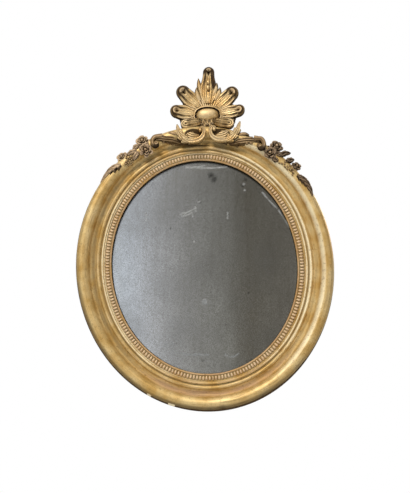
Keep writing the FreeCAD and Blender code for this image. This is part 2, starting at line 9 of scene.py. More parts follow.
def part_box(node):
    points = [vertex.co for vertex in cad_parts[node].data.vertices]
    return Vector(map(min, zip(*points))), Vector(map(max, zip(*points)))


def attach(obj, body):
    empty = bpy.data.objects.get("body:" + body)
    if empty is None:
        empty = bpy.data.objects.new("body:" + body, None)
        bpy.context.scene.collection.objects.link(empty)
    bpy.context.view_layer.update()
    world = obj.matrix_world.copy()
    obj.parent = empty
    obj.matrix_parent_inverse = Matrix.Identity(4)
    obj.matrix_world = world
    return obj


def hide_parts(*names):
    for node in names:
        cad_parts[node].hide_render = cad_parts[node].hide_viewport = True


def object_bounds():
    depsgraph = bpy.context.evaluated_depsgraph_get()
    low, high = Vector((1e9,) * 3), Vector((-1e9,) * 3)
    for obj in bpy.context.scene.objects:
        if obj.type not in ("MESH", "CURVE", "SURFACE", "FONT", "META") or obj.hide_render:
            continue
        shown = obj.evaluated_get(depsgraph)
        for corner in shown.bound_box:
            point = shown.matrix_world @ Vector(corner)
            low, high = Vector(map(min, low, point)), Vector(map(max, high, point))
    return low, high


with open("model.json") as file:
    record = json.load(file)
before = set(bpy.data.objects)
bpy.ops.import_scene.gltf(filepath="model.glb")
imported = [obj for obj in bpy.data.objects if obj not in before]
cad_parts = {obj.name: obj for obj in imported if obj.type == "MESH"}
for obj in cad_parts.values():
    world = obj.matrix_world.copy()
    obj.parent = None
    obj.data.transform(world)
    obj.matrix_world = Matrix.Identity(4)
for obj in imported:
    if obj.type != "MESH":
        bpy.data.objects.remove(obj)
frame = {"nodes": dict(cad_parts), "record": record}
cadLow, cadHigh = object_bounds()
scene = bpy.context.scene
mm = 0.001
toViewer = Vector((0, -1, 0))  # the mirror faces -Y
rightwards = Vector((1, 0, 0))
upwards = Vector((0, 0, 1))
print("frame loaded,", len(frame["nodes"]), "nodes")


# the oval, with the same sizes as the solids

ovalShape = {
    "halfWidth": 197.0,  # mm, sight edge
    "halfHeight": 229.0,
    "lean": 7.0,  # degrees, the long axis leans left at the top
    "crestStation": 9.5,  # degrees from the long axis to the middle of the crest
    "crestRise": 16.0,
    "outerOffset": 78.0,
    "glassDepth": 24.0,
}


def leanTurn(x, z):
    angle = math.radians(ovalShape["lean"])
    return x * math.cos(angle) - z * math.sin(angle), x * math.sin(angle) + z * math.cos(angle)


def ovalNormal(station):
    angle = math.radians(station)
    x, z = leanTurn(ovalShape["halfHeight"] * math.sin(angle), ovalShape["halfWidth"] * math.cos(angle))
    return Vector((x, 0, z)).normalized()


def ovalPoint(station, offset, depth):  # offset outwards from the sight edge, depth forwards from the wall
    angle = math.radians(station)
    x, z = leanTurn(ovalShape["halfWidth"] * math.sin(angle), ovalShape["halfHeight"] * math.cos(angle))
    normal = ovalNormal(station)
    return Vector((x + normal.x * offset, -depth, z + normal.z * offset)) * mm


def evenStations(count, offset):  # stations at equal distances along an offset line
    fine = 3600
    lengths = [0.0]
    last = ovalPoint(0, offset, 0)
    for step in range(1, fine + 1):
        here = ovalPoint(360 * step / fine, offset, 0)
        lengths.append(lengths[-1] + (here - last).length)
        last = here
    stations = []
    step = 0
    for index in range(count):
        wanted = lengths[-1] * index / count
        while lengths[step + 1] < wanted:
            step += 1
        share = (wanted - lengths[step]) / (lengths[step + 1] - lengths[step])
        stations.append(360 * (step + share) / fine)
    return stations


crestX = ovalPoint(ovalShape["crestStation"], 60, 0).x / mm
crestTop = ovalPoint(ovalShape["crestStation"], ovalShape["outerOffset"], 0).z / mm
bossZ = crestTop + ovalShape["crestRise"]


def crestPoint(x, z, depth):  # mm from the middle of the boss
    return Vector((crestX + x, -depth, bossZ + z)) * mm


# curves and meshes

def smoothStep(value, low, high):
    share = min(max((value - low) / (high - low), 0.0), 1.0)
    return share * share * (3 - 2 * share)


def readList(values, share):  # smooth reading of evenly spaced values
    place = min(max(share, 0.0), 1.0) * (len(values) - 1)
    index = min(int(place), len(values) - 2)
    t = place - index
    before = values[max(index - 1, 0)]
    after = values[min(index + 2, len(values) - 1)]
    a, b = values[index], values[index + 1]
    bend = 2 * before - 5 * a + 4 * b - after + t * (3 * (a - b) + after - before)
    return a + 0.5 * t * (b - before + t * bend)


def smoothPath(points, count):
    axes = [[point[k] for point in points] for k in range(3)]
    return [Vector([readList(axis, i / count) for axis in axes]) for i in range(count + 1)]


def arcThrough(a, b, c, count):  # points from a to c on the circle through b
    (ax, ay), (bx, by), (cx, cy) = a, b, c
    d = 2 * (ax * (by - cy) + bx * (cy - ay) + cx * (ay - by))
    aa, bb, cc = ax * ax + ay * ay, bx * bx + by * by, cx * cx + cy * cy
    x = (aa * (by - cy) + bb * (cy - ay) + cc * (ay - by)) / d
    y = (aa * (cx - bx) + bb * (ax - cx) + cc * (bx - ax)) / d
    start = math.atan2(ay - y, ax - x)
    turn = (math.atan2(cy - y, cx - x) - start) % (2 * math.pi)
    if (math.atan2(by - y, bx - x) - start) % (2 * math.pi) > turn:
        turn -= 2 * math.pi
    size = math.hypot(ax - x, ay - y)
    angles = [start + turn * k / count for k in range(count + 1)]
    return [(x + size * math.cos(angle), y + size * math.sin(angle)) for angle in angles]


def gridFaces(rows, columns, start=0, ring=False):
    faces = []
    for i in range(rows - 1):
        for j in range(columns if ring else columns - 1):
            k = (j + 1) % columns
            low, high = start + i * columns, start + (i + 1) * columns
            faces.append((low + j, low + k, high + k, high + j))
    return faces


paintLabels = ("groove", "worn", "bare", "polish")  # grime with painted shade, rubbing with painted highlight, bare wood with painted shade, and painted highlight at each point


def newShape():
    return dict({label: [] for label in paintLabels}, points=[], faces=[], along=[])


def addPart(shape, points, faces, **paint):
    start = len(shape["points"])
    shape["points"] += points
    shape["faces"] += [tuple(start + v for v in face) for face in faces]
    for label in paintLabels:
        shape[label] += paint.get(label) or [0.0] * len(points)
    shape["along"] += paint.get("along") or [(0.0, 0.0, 0.0)] * len(points)


def finishShape(shape, name, material, nodes, sharp=50):
    mesh = bpy.data.meshes.new(name)
    mesh.from_pydata(shape["points"], [], shape["faces"])
    for label in paintLabels:
        mesh.attributes.new(label, "FLOAT", "POINT").data.foreach_set("value", shape[label])
    along = [value for place in shape["along"] for value in place]
    mesh.attributes.new("along", "FLOAT_VECTOR", "POINT").data.foreach_set("vector", along)
    work = bmesh.new()
    work.from_mesh(mesh)
    bmesh.ops.remove_doubles(work, verts=work.verts, dist=1e-6)
    bmesh.ops.dissolve_degenerate(work, edges=work.edges, dist=1e-7)
    bmesh.ops.recalc_face_normals(work, faces=work.faces)
    work.to_mesh(mesh)
    work.free()
    mesh.polygons.foreach_set("use_smooth", [True] * len(mesh.polygons))
    mesh.set_sharp_from_angle(angle=math.radians(sharp))
    mesh.materials.append(material)
    piece = bpy.data.objects.new(name, mesh)
    scene.collection.objects.link(piece)
    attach(piece, "frame")
    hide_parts(*nodes)


def makeSpine(points, look=toViewer):  # a path with its directions across and outwards
    across, facing = [], []
    last = len(points) - 1
    for i in range(len(points)):
        tangent = (points[min(i + 1, last)] - points[max(i - 1, 0)]).normalized()
        across.append(tangent.cross(look).normalized())
        facing.append(across[-1].cross(tangent).normalized())
    return points, across, facing


def spineAt(spine, share):
    place = min(max(share, 0.0), 1.0) * (len(spine[0]) - 1)
    index = min(int(place), len(spine[0]) - 2)
    return [part[index].lerp(part[index + 1], place - index) for part in spine]


def addSheet(shape, front, back, columns, **paint):  # a closed sheet between two grids of points
    rows = len(front) // columns
    count = rows * columns
    rim = list(range(columns))
    rim += [i * columns + columns - 1 for i in range(1, rows)]
    rim += [(rows - 1) * columns + j for j in range(columns - 2, -1, -1)]
    rim += [i * columns for i in range(rows - 2, 0, -1)]
    faces = gridFaces(rows, columns) + gridFaces(rows, columns, count)
    faces += [(a, a + count, b + count, b) for a, b in zip(rim, rim[1:] + rim[:1])]
    doubled = {label: values + values for label, values in paint.items()}
    doubled["bare"] = [0.0] * count + [1.0] * count
    addPart(shape, front + back, faces, **doubled)


leafLook = {  # what a carved leaf has unless it says otherwise
    "slant": 0.0,  # ribs that branch off the middle
    "teeth": 0,
    "toothDepth": 0.0,
    "roll": 1.2,  # mm, edges turned down
    "grime": 0.0,  # grime and painted shade towards the tip
    "smoke": 0.0,  # painted shade all over
    "ink": 1.15,  # grime and painted shade between the ribs
    "midrib": 0.0,  # mm, a cut down the middle
}


def addLeaf(shape, spine, changes):
    look = dict(leafLook, **changes)
    rows, columns, ribs = look["rows"], look["columns"], look["ribs"]
    front, back = [], []
    paint = {"groove": [], "worn": [], "along": []}
    for i in range(rows + 1):
        u = i / rows
        width, crown, cut, thick = [
            readList(look[key], u) * mm for key in ("halfWidth", "crown", "cut", "thick")]
        tooth = 1 - (look["teeth"] * u % 1.0) ** 0.8 if look["teeth"] else 0.0
        for j in range(columns + 1):
            v = 2 * j / columns - 1
            branch = look["slant"] * u * (1 if v > 0 else -1)
            ridge = abs(math.cos(math.pi * (0.5 * ribs * v + branch))) ** 0.7
            edge = smoothStep(abs(v), 0.82, 1.0)
            point, across, facing = spineAt(spine, u)
            rib = math.exp(-(v / 0.13) ** 2) if look["midrib"] else 0.0
            height = crown * (1 - 0.7 * v * v) - cut * (1 - ridge) - look["roll"] * mm * edge
            height -= look["midrib"] * mm * rib
            reach = v * width * (1 - look["toothDepth"] * tooth * abs(v) ** 1.5)
            front.append(point + across * reach + facing * height)
            back.append(point + across * (reach * 0.95) + facing * (min(height, 0.0) - thick))
            # grime and painted shade between the ribs, on the turned-down edges, down the midrib and
            # towards the tip
            low = look["ink"] * (1 - ridge) + 0.75 * edge + 0.8 * rib + look["smoke"]
            low += look["grime"] * smoothStep(u, 0.55, 0.8)
            paint["groove"].append(min(1.0, low))
            paint["worn"].append(max(0.0, ridge - 0.5) * 1.5 * (1 - edge))
            paint["along"].append((u * 0.12, v * width, 0.0))
    addSheet(shape, front, back, columns + 1, **paint)


def addRod(shape, spine, section, turns):  # section gives across, rise and grime with painted shade at a share and an angle
    points, groove, worn = [], [], []
    count = len(spine[0])
    for i in range(count):
        for k in range(turns):
            angle = 2 * math.pi * k / turns
            a, n, low = section(i / (count - 1), angle)
            points.append(spine[0][i] + spine[1][i] * (a * mm) + spine[2][i] * (n * mm))
            groove.append(low)
            # rubbed wear with painted highlight on the side towards the viewer
            worn.append(max(0.0, math.sin(angle) - 0.3))
    faces = gridFaces(count, turns, ring=True)
    faces.append(tuple(range(turns)))
    faces.append(tuple(range((count - 1) * turns, count * turns)))
    addPart(shape, points, faces, groove=groove, worn=worn)


def addKnob(shape, centre, axes, radii, dent=0.0, rows=9, columns=14):  # a carved knob, dented at the top, with painted shade on its back half and in the dent, and rubbed wear with painted highlight on its face
    points, groove, worn = [], [], []
    for i in range(rows + 1):
        polar = math.pi * i / rows
        out = math.sin(polar)
        top = i < rows / 2
        rise = math.cos(polar) - (dent * max(0.0, 1 - out / 0.5) if top else 0.0)
        for k in range(columns):
            turn = 2 * math.pi * k / columns
            flat = axes[0] * (radii[0] * math.cos(turn)) + axes[1] * (radii[1] * math.sin(turn))
            points.append(centre + (flat * out + axes[2] * (radii[2] * rise)) * mm)
            groove.append(smoothStep(i / rows, 0.3, 0.6) + (0.8 if dent and top and out < 0.3 else 0.0))
            worn.append(max(0.0, math.cos(polar)) * 0.6)
    addPart(shape, points, gridFaces(rows + 1, columns, ring=True), groove=groove, worn=worn)


# shader nodes

def linear(hexColour):
    parts = [int(hexColour[i:i + 2], 16) / 255 for i in (1, 3, 5)]
    return tuple(c / 12.92 if c <= 0.04045 else ((c + 0.055) / 1.055) ** 2.4 for c in parts) + (1.0,)


def addNode(tree, kind, inputs=None, out=0, **settings):
    item = tree.nodes.new("ShaderNode" + kind)
    for key, value in settings.items():
        setattr(item, key, value)
    for key, value in (inputs or {}).items():
        if isinstance(value, bpy.types.NodeSocket):
            tree.links.new(value, item.inputs[key])
        else:
            item.inputs[key].default_value = value
    return item.outputs[out] if item.outputs else item


def newMaterial(name):
    material = bpy.data.materials.new(name)
    material.use_nodes = True
    material.node_tree.nodes.clear()
    return material, material.node_tree


# water gilding: gold leaf laid on red clay and gesso, burnished, then rubbed and smoked for a century.
# The eye gets a satin gold in broken streaks, pink clay and painted highlights on the high lines, and brown
# grime with painted shade in the hollows.

gildingLook = {
    "goldLight": "#e2c88e",
    "goldMid": "#c29d57",
    "goldDeep": "#7c5a22",
    # tone of the clay, also used for painted highlights
    "clay": "#b68c74",
    # dark tone for grime and painted shade
    "grime": "#33230f",
    # brown of bare wood, also used for painted shade on the outer flank
    "bare": "#4b3820",
    # pale tone of the painted highlights
    "bright": "#fff1cc",
    "metallic": 0.42,
    "roughness": 0.49,
    "streakLong": 70.0,  # mm along the moulding
    "streakFine": 2.6,  # mm across it
    "patch": 34.0,  # mm, cloudy changes of tone
    "grain": 1.4,  # mm, drawn coarser than the leaf's own grain so that it shows
    "fleck": 5.0,  # mm, small losses and scuffs
    "rub": 0.6,
    "dirt": 0.97,
    "recess": 0.0,  # mm, how far grime and painted shade reach out of a corner
}


def gildedGesso(name, **changes):
    look = dict(gildingLook, **changes)
    material, tree = newMaterial(name)
    place = addNode(tree, "TexCoord", out="Object")
    along = addNode(tree, "Attribute", out="Vector", attribute_name="along")
    groove, worn, bare, polish = [
        addNode(tree, "Attribute", out="Fac", attribute_name=label) for label in paintLabels]
    stretch = (1000 / look["streakLong"], 1000 / look["streakFine"], 1.0)
    stretched = addNode(tree, "Mapping", {"Vector": along, "Scale": stretch})
    streak = {"Vector": stretched, "Scale": 1.0, "Detail": 5.0, "Roughness": 0.62}
    streak = addNode(tree, "TexNoise", streak)
    patch = addNode(tree, "TexNoise", {"Vector": place, "Scale": 1000 / look["patch"], "Detail": 4.0})
    grain = addNode(tree, "TexNoise", {"Vector": place, "Scale": 1000 / look["grain"], "Detail": 3.0})
    fleck = {"Vector": place, "Scale": 1000 / look["fleck"], "Detail": 4.0, "Roughness": 0.65}
    fleck = addNode(tree, "TexNoise", fleck)
    cloudy = addNode(tree, "MapRange", {0: patch, 1: 0.36, 2: 0.64})
    dull = addNode(tree, "MapRange", {0: streak, 1: 0.54, 2: 0.74, 4: 0.8})
    # rubbed through to the clay, which also paints the highlights on high edges and tips
    broken = addNode(tree, "Math", {0: streak, 1: patch}, operation="MULTIPLY")
    rub = addNode(tree, "Math", {0: broken, 1: 2.4, 2: worn}, operation="MULTIPLY_ADD")
    rub = addNode(tree, "MapRange", {0: rub, 1: 0.95, 2: 1.5, 4: look["rub"]})
    # painted highlights on the burnished lines, brighter in some places than in others
    bright = addNode(tree, "MapRange", {0: patch, 1: 0.34, 2: 0.6, 3: 0.7, 4: 1.0})
    bright = addNode(tree, "Math", {0: bright, 1: polish}, operation="MULTIPLY", use_clamp=True)
    # grime and painted shade in the hollows, with painted shade in corners from ambient occlusion
    dirt = addNode(tree, "Math", {0: patch, 1: 0.6, 2: groove}, operation="MULTIPLY_ADD")
    dirt = addNode(tree, "MapRange", {0: dirt, 1: 0.6, 2: 1.3, 4: look["dirt"]})
    if look["recess"]:
        corner = addNode(tree, "AmbientOcclusion", {"Distance": look["recess"] * mm}, "AO", samples=8)
        corner = addNode(tree, "MapRange", {0: corner, 1: 0.74, 2: 0.30})
        dirt = addNode(tree, "Math", {0: dirt, 1: corner}, operation="MAXIMUM")
    # wood and size where the leaf was never laid, with painted shade on the moulding's outer flank
    edge = addNode(tree, "Math", {0: broken, 1: 1.2, 2: bare}, operation="MULTIPLY_ADD")
    edge = addNode(tree, "MapRange", {0: edge, 1: 0.6, 2: 0.95})
    scuffed = addNode(tree, "MapRange", {0: fleck, 1: 0.57, 2: 0.68, 4: 0.55})
    colour = {0: cloudy, 6: linear(look["goldMid"]), 7: linear(look["goldLight"])}
    colour = addNode(tree, "Mix", colour, 2, data_type="RGBA")
    layers = ((dull, "goldDeep"), (rub, "clay"), (bright, "bright"), (dirt, "grime"), (edge, "bare"),
              (scuffed, "goldDeep"))
    for share, tint in layers:
        mixed = {0: share, 6: colour, 7: linear(look[tint])}
        colour = addNode(tree, "Mix", mixed, 2, data_type="RGBA")
    speckle = addNode(tree, "MapRange", {0: grain, 1: 0.52, 2: 0.72, 4: 0.3})
    tinted = {0: speckle, 6: colour, 7: linear(look["goldDeep"])}
    colour = addNode(tree, "Mix", tinted, 2, data_type="RGBA", blend_type="MULTIPLY")
    # where the gold is lost the surface goes dull
    lost = addNode(tree, "Math", {0: dirt, 1: rub}, operation="MAXIMUM")
    lost = addNode(tree, "Math", {0: lost, 1: edge}, operation="MAXIMUM")
    shine = addNode(tree, "MapRange", {0: lost, 3: look["metallic"], 4: 0.0})
    smooth, dry = look["roughness"] - 0.05, look["roughness"] + 0.12
    rough = addNode(tree, "MapRange", {0: streak, 1: 0.3, 2: 0.8, 3: smooth, 4: dry})
    rough = addNode(tree, "Math", {0: lost, 1: 0.3, 2: rough}, operation="MULTIPLY_ADD", use_clamp=True)
    relief = addNode(tree, "Math", {0: grain, 1: 0.7, 2: streak}, operation="MULTIPLY_ADD")
    bump = addNode(tree, "Bump", {"Strength": 0.45, "Distance": 0.3 * mm, "Height": relief})
    gloss = addNode(tree, "MapRange", {0: lost, 3: 0.5, 4: 0.12})
    wax = addNode(tree, "MapRange", {0: lost, 3: 0.12, 4: 0.0})
    surface = addNode(tree, "BsdfPrincipled", {
        "Base Color": colour, "Metallic": shine, "Roughness": rough, "Normal": bump,
        "Specular IOR Level": gloss, "Coat Weight": wax, "Coat Roughness": 0.25})
    addNode(tree, "OutputMaterial", {"Surface": surface})
    return material


mouldingGilding = gildedGesso("water gilding on the moulding")
beadGilding = gildedGesso(
    "rubbed gilding on the beads", goldLight="#ead2aa", goldMid="#dfc096", clay="#e6cbac",
    grime="#7a5b38", rub=0.6, dirt=0.9, recess=1.2)
crestGilding = gildedGesso(
    "water gilding on the crest", goldLight="#dfc692", goldMid="#bf9b60", goldDeep="#7f5f35",
    clay="#e4cba4", metallic=0.62, roughness=0.38, rub=0.8, dirt=0.97, recess=5.0, grime="#2c1c0e")
leafGilding = gildedGesso(
    "smoked gilding on the leaves", goldLight="#94784a", goldMid="#735832", goldDeep="#46331b",
    clay="#d8b894", rub=0.42, dirt=1.0, recess=4.0, grime="#1e1307", roughness=0.4)
roseGilding = gildedGesso(
    "dusty gilding on the roses", goldLight="#bda582", goldMid="#977b5a", goldDeep="#675036",
    clay="#ccb296", rub=0.75, dirt=1.0, recess=2.5, grime="#2a1d11", roughness=0.46)
print("gilding ready")


# front moulding, from the sight edge outwards: lip, bead channel, two ridges, cove and torus

mouldingLook = {
    "steps": 160,  # along each quarter
    "wobble": 0.3,  # mm, hand-cut unevenness
    "jointGap": 0.12,  # mm at each end of a quarter
    "middleRadius": 250.0,  # mm, turns that gap into degrees
    # offset, height, grime with painted shade, and wear of the lip and the bead channel; the lip's inner
    # face is painted dark as if in shade
    "inside": ((0.0, 0.0, 1.0, 0.0), (0.0, 2.0, 1.0, 0.0), (0.15, 3.0, 1.0, 0.0), (0.5, 3.6, 0.2, 0.5),
               (1.6, 4.2, 0.0, 1.0), (2.8, 4.6, 0.0, 1.0), (3.4, 4.5, 0.5, 0.3), (3.6, 3.9, 0.8, 0.0),
               (5.5, 3.9, 0.6, 0.0), (9.0, 3.9, 0.6, 0.0), (12.5, 3.9, 0.5, 0.0), (14.4, 4.0, 0.5, 0.0),
               (14.6, 6.6, 0.5, 0.0), (14.9, 7.2, 0.0, 0.6), (15.8, 7.3, 0.0, 0.3), (16.5, 7.2, 0.5, 0.0)),
    # quirk and outer edge: offset, height, grime with painted shade, and wear
    "quirk": ((22.4, 7.7, 0.7, 0.0), (23.2, 7.6, 0.7, 0.0)),
    "outside": ((74.1, 9.6, 1.0, 0.0), (74.4, 9.05, 1.0, 0.0), (75.0, 9.0, 0.5, 0.0),
                (75.3, 6.0, 0.3, 0.4), (76.0, 0.0, 0.8, 0.0)),
    # three points of each round, then its steps and wear
    "ridgeInner": ((16.6, 7.3), (19.2, 10.4), (21.8, 8.0), 10, 0.6),
    "ridgeOuter": ((24.3, 7.9), (28.2, 12.0), (32.0, 9.2), 12, 0.45),
    "cove": ((32.0, 9.2), (39.2, 7.2), (46.0, 12.0), 14, 0.0),
    "torus": ((46.0, 12.0), (60.0, 26.0), (74.0, 13.0), 40, 0.15),
    "bareEdge": (1.0, 1.0, 0.8, 0.7, 0.6, 0.4, 0.3, 0.2, 0.05, 0.1, 0.45, 0.85, 1.0),  # bare wood with painted shade on the outer flank, darkest at the foot and the left; round from the foot
    "bareStart": 68.5,
    "chips": ((-149.0, 0.9), (-159.0, 1.3)),  # station and half width in degrees
    "chipRim": (70.0, 75.5),  # offsets
    "coveCrack": (1.0, 11.0, 32.5, 35.0),  # stations and offsets
    "crestShade": (0.4, 6.0, 15.0),  # painted shade and grime under the crest, degrees to where it starts and ends to fade
    "hollow": (30.0, -41.0, 21.0, 14.0),  # mm from the boss and half sizes, in the shade of each C-scroll
    # painted shade and grime in those hollows
    "hollowGrime": 1.4,
    "footClay": (0.85, 31.0, 50.0),  # wear of the lower cove, and its offsets
    "rimGrime": (0.4, -155, 45, 80),  # painted shade and grime on the outer torus, more of it at the lower left
    "coveGrime": (0.3, -85, 35, 60, 29.0, 44.0),  # and painted shade in the left cove, between these offsets
    # painted highlights on the burnished lines: offset, half width, strength, middle station and half its
    # run
    "burnish": ((15.0, 1.6, 0.9, -70, 110), (18.6, 2.0, 0.9, -95, 65), (18.6, 2.0, 0.8, 85, 80),
                (26.4, 3.2, 1.0, 80, 72), (51.5, 6.0, 0.85, 85, 76)),
}


def mouldingProfile():  # offset, height, grime with painted shade, and wear
    look = mouldingLook
    line = list(look["inside"])
    for name in ("ridgeInner", "ridgeOuter", "cove", "torus"):
        *arc, count, rub = look[name]
        for k, (offset, height) in enumerate(arcThrough(*arc, count)):
            middle = math.sin(math.pi * k / count)
            # painted shade at the feet of the ridges, in the cove and on the outer flank of the torus
            outer = 0.35 * smoothStep(offset, 57, 68)
            low = {"cove": 0.42 * middle, "torus": outer}.get(name, 0.5 * (1 - middle))
            line.append((offset, height, low, rub * middle ** 2))
        if name == "ridgeInner":
            line += look["quirk"]
    return line + list(look["outside"])


def nearStation(turn, middle, full, gone):  # 1 round a station, fading to 0
    return 1 - smoothStep(abs((turn - middle + 180) % 360 - 180), full, gone)


def hump(offset, low, high):
    return math.sin(math.pi * (offset - low) / (high - low)) if low < offset < high else 0.0


# painted shade and grime under the crest and in the hollows, clay in the lower cove, bare wood with painted
# shade at the rim, painted highlights on the burnished lines
def mouldingWear(station, offset, low, rub):
    look = mouldingLook
    turn = (station + 180) % 360 - 180
    for middle, half in look["chips"]:
        if abs(turn - middle) < half and look["chipRim"][0] < offset < look["chipRim"][1]:
            return 0.0, 0.0, 0.0, 2.0  # white gesso
    strength, full, gone = look["crestShade"]
    underCrest = nearStation(turn, ovalShape["crestStation"], full, gone)
    low = max(low, strength * underCrest * smoothStep(offset, 58, 64))
    here = ovalPoint(station, offset, 0) / mm
    x, z, wide, high = look["hollow"]
    for hand in (1, -1):
        away = math.hypot((here.x - crestX - hand * x) / wide, (here.z - bossZ - z) / high)
        low = max(low, look["hollowGrime"] * (1 - smoothStep(away, 0.7, 1.1)))
    strength, inner, outer = look["footClay"]
    rub = max(rub, strength * smoothStep(abs(turn), 115, 160) * hump(offset, inner, outer))
    start, end, inner, outer = look["coveCrack"]
    if inner < offset < outer and start < turn < end:
        low = 1.0
    # bare wood and painted shade on the outer flank of the torus
    rim = smoothStep(offset, look["bareStart"], look["bareStart"] + 4.5)
    bare = readList(look["bareEdge"], (turn + 180) / 360) * rim
    shine = 0.0
    # painted highlights along the burnished lines, placed round the oval where the light falls on them
    for line, half, power, middle, run in look["burnish"]:
        power *= nearStation(turn, middle, 0.6 * run, run)
        shine = max(shine, power * (1 - smoothStep(abs(offset - line), 0.3 * half, half)))
    # painted shade and grime on the outer torus, painted shade in the left cove
    strength, *run = look["rimGrime"]
    low += strength * smoothStep(offset, 58, 68) * nearStation(turn, *run)
    strength, *run, inner, outer = look["coveGrime"]
    low += strength * hump(offset, inner, outer) * nearStation(turn, *run)
    return low, rub, bare, shine


def makeMoulding():
    look = mouldingLook
    profile = mouldingProfile()
    lengths = [0.0]
    for a, b in zip(profile, profile[1:]):
        lengths.append(lengths[-1] + math.hypot(b[0] - a[0], b[1] - a[1]))
    steps, columns = look["steps"], len(profile)
    gap = math.degrees(look["jointGap"] / look["middleRadius"])
    for quarter, name in enumerate(("upper_right", "lower_right", "lower_left", "upper_left")):
        shape = newShape()
        points, along = [], []
        paint = {label: [] for label in paintLabels}
        run, last = 0.5 * quarter, None
        for step in range(steps + 1):
            station = 90 * quarter + gap + (90 - 2 * gap) * step / steps
            here = ovalPoint(station, 40, 0)
            run += (here - last).length if last else 0.0
            last = here
            for k, (offset, height, low, rub) in enumerate(profile):
                place = ovalPoint(station, offset, ovalShape["glassDepth"] + height)
                if 6 < k < columns - 1:
                    swell = 0.6 * noise.noise(place * 22)
                    swell += 0.4 * noise.noise(place * 90 + Vector((3, 1, 7)))
                    lift = (swell - 0.4) * look["wobble"] * mm
                    place += (toViewer - 0.4 * ovalNormal(station)) * lift
                points.append(place)
                along.append((run, lengths[k] * mm, 0.0))
                for label, value in zip(paintLabels, mouldingWear(station, offset, low, rub)):
                    paint[label].append(value)
        faces = gridFaces(steps + 1, columns)
        for i in range(steps):
            low, high = i * columns, (i + 1) * columns
            faces.append((low, high, high + columns - 1, low + columns - 1))
        faces += [tuple(range(columns)), tuple(range(steps * columns, (steps + 1) * columns))]
        addPart(shape, points, faces, along=along, **paint)
        finishShape(shape, "moulding_" + name, mouldingGilding, ["front_moulding_" + name], 40)
    print("moulding swept, profile of", columns, "points")


beadLook = {
    "count": 213,
    "line": 9.0,  # mm from the sight edge
    "floor": 27.9,
    "length": 10.2,
    "width": 6.0,
    "height": 3.4,
}


def makeBeading():
    look = beadLook
    shape = newShape()
    rows, columns = 6, 14
    random.seed(3)
    for station in evenStations(look["count"], look["line"]):
        centre = ovalPoint(station, look["line"], look["floor"])
        outwards = ovalNormal(station)
        sideways = Vector((outwards.z, 0, -outwards.x))
        size = random.uniform(0.92, 1.0)
        points, groove, worn = [], [], []
        for i in range(rows + 1):
            polar = 0.5 * math.pi * i / rows
            for k in range(columns):
                turn = 2 * math.pi * k / columns
                reach = math.sin(turn) * math.sin(polar)
                half = look["width"] / 2 * (0.87 + 0.13 * reach)  # narrower at the inner end
                place = outwards * (look["length"] / 2 * reach)
                place += sideways * (half * math.cos(turn) * math.sin(polar))
                place += toViewer * (look["height"] * math.cos(polar))
                points.append(centre + place * (size * mm))
                # painted shade towards the foot of each bead, in the gaps between them
                groove.append((i / rows) ** 3)
                worn.append(math.cos(polar) * random.uniform(0.6, 1.2))
        faces = gridFaces(rows + 1, columns, ring=True)
        faces.append(tuple(range(rows * columns, (rows + 1) * columns)))
        addPart(shape, points, faces, groove=groove, worn=worn)
    finishShape(shape, "sight_beads", beadGilding, ["sight_beading"])
    print("beads set:", look["count"])


makeMoulding()
makeBeading()


# crest: a shell of five curled fronds round a domed boss

frondLook = {  # mm; angles in degrees from upright
    "focus": 7.0,
    "root": 27.0,
    "depth": 33.0,
    "thick": 5.0,
    "lean": 8.0,  # forwards, at the tip
    "crown": 1.5,
    "relief": 1.0,  # share of the heights below
    "side": [3.4, 4.2, 4.5, 4.2, 3.4, 1.8, 3.2, 4.3, 4.6, 3.6, -1.0],  # height from the middle to the edge
    "end": [-1.0, 1.0, 4.4, 6.6, 7.3, 7.0, 6.2, 5.0, 3.6, 1.8, -1.0],  # the same round the hooded tip
    # grime with painted shade, and rubbed wear with painted highlight, along the side and round the tip:
    # the tip gets a painted dark rim and a painted pale crescent
    "sideGroove": [0.3, 0.0, 0.0, 0.1, 0.35, 0.9, 0.3, 0.0, 0.0, 0.4, 1.0],
    "endGroove": [1.3, 0.9, 0.2, 0.0, 0.2, 0.9, 1.1, 1.0, 0.85, 0.85, 1.1],
    "sideWorn": [0.0, 0.5, 0.7, 0.4, 0.0, 0.0, 0.2, 0.7, 0.9, 0.3, 0.0],
    "endWorn": [0.0, 0.3, 1.4, 1.9, 1.5, 0.4, 0.0, 0.0, 0.0, 0.0, 0.0],
    "flutes": 6.0,  # fine cuts from the middle to the edge
    "fluteDepth": 0.85,
    "smoke": 0.0,  # painted shade on the right half
    "hood": 0.0,  # painted shade in the hollow of the curled tip
    "centre": {"angle": 1.6, "reach": 112.0, "tip": 12.5, "crown": 4.0, "smoke": 1.1, "hood": 1.0,
               "halfWidth": [10, 16, 20, 21, 19, 16, 13.5, 12.7]},
    "upper_left": {"angle": -44.5, "reach": 92.0, "tip": 15.5, "hood": 0.9,
                   "halfWidth": [8, 11.5, 15, 17.5, 18.3, 18, 17, 16]},
    "upper_right": {"angle": 47.0, "reach": 88.0, "tip": 15.0, "hood": 0.9,
                    "halfWidth": [8, 11.5, 15, 17.3, 18, 17.6, 17, 16]},
    "lower_left": {"angle": -81.0, "reach": 83.0, "tip": 13.5, "hood": 0.7,
                   "halfWidth": [8, 11.5, 14.5, 17, 18, 17.5, 16.5, 15]},
    "lower_right": {"angle": 82.0, "reach": 82.5, "tip": 13.5, "hood": 0.3,
                    "halfWidth": [8, 11.5, 14, 15.5, 16, 15.5, 14.8, 14]},
}


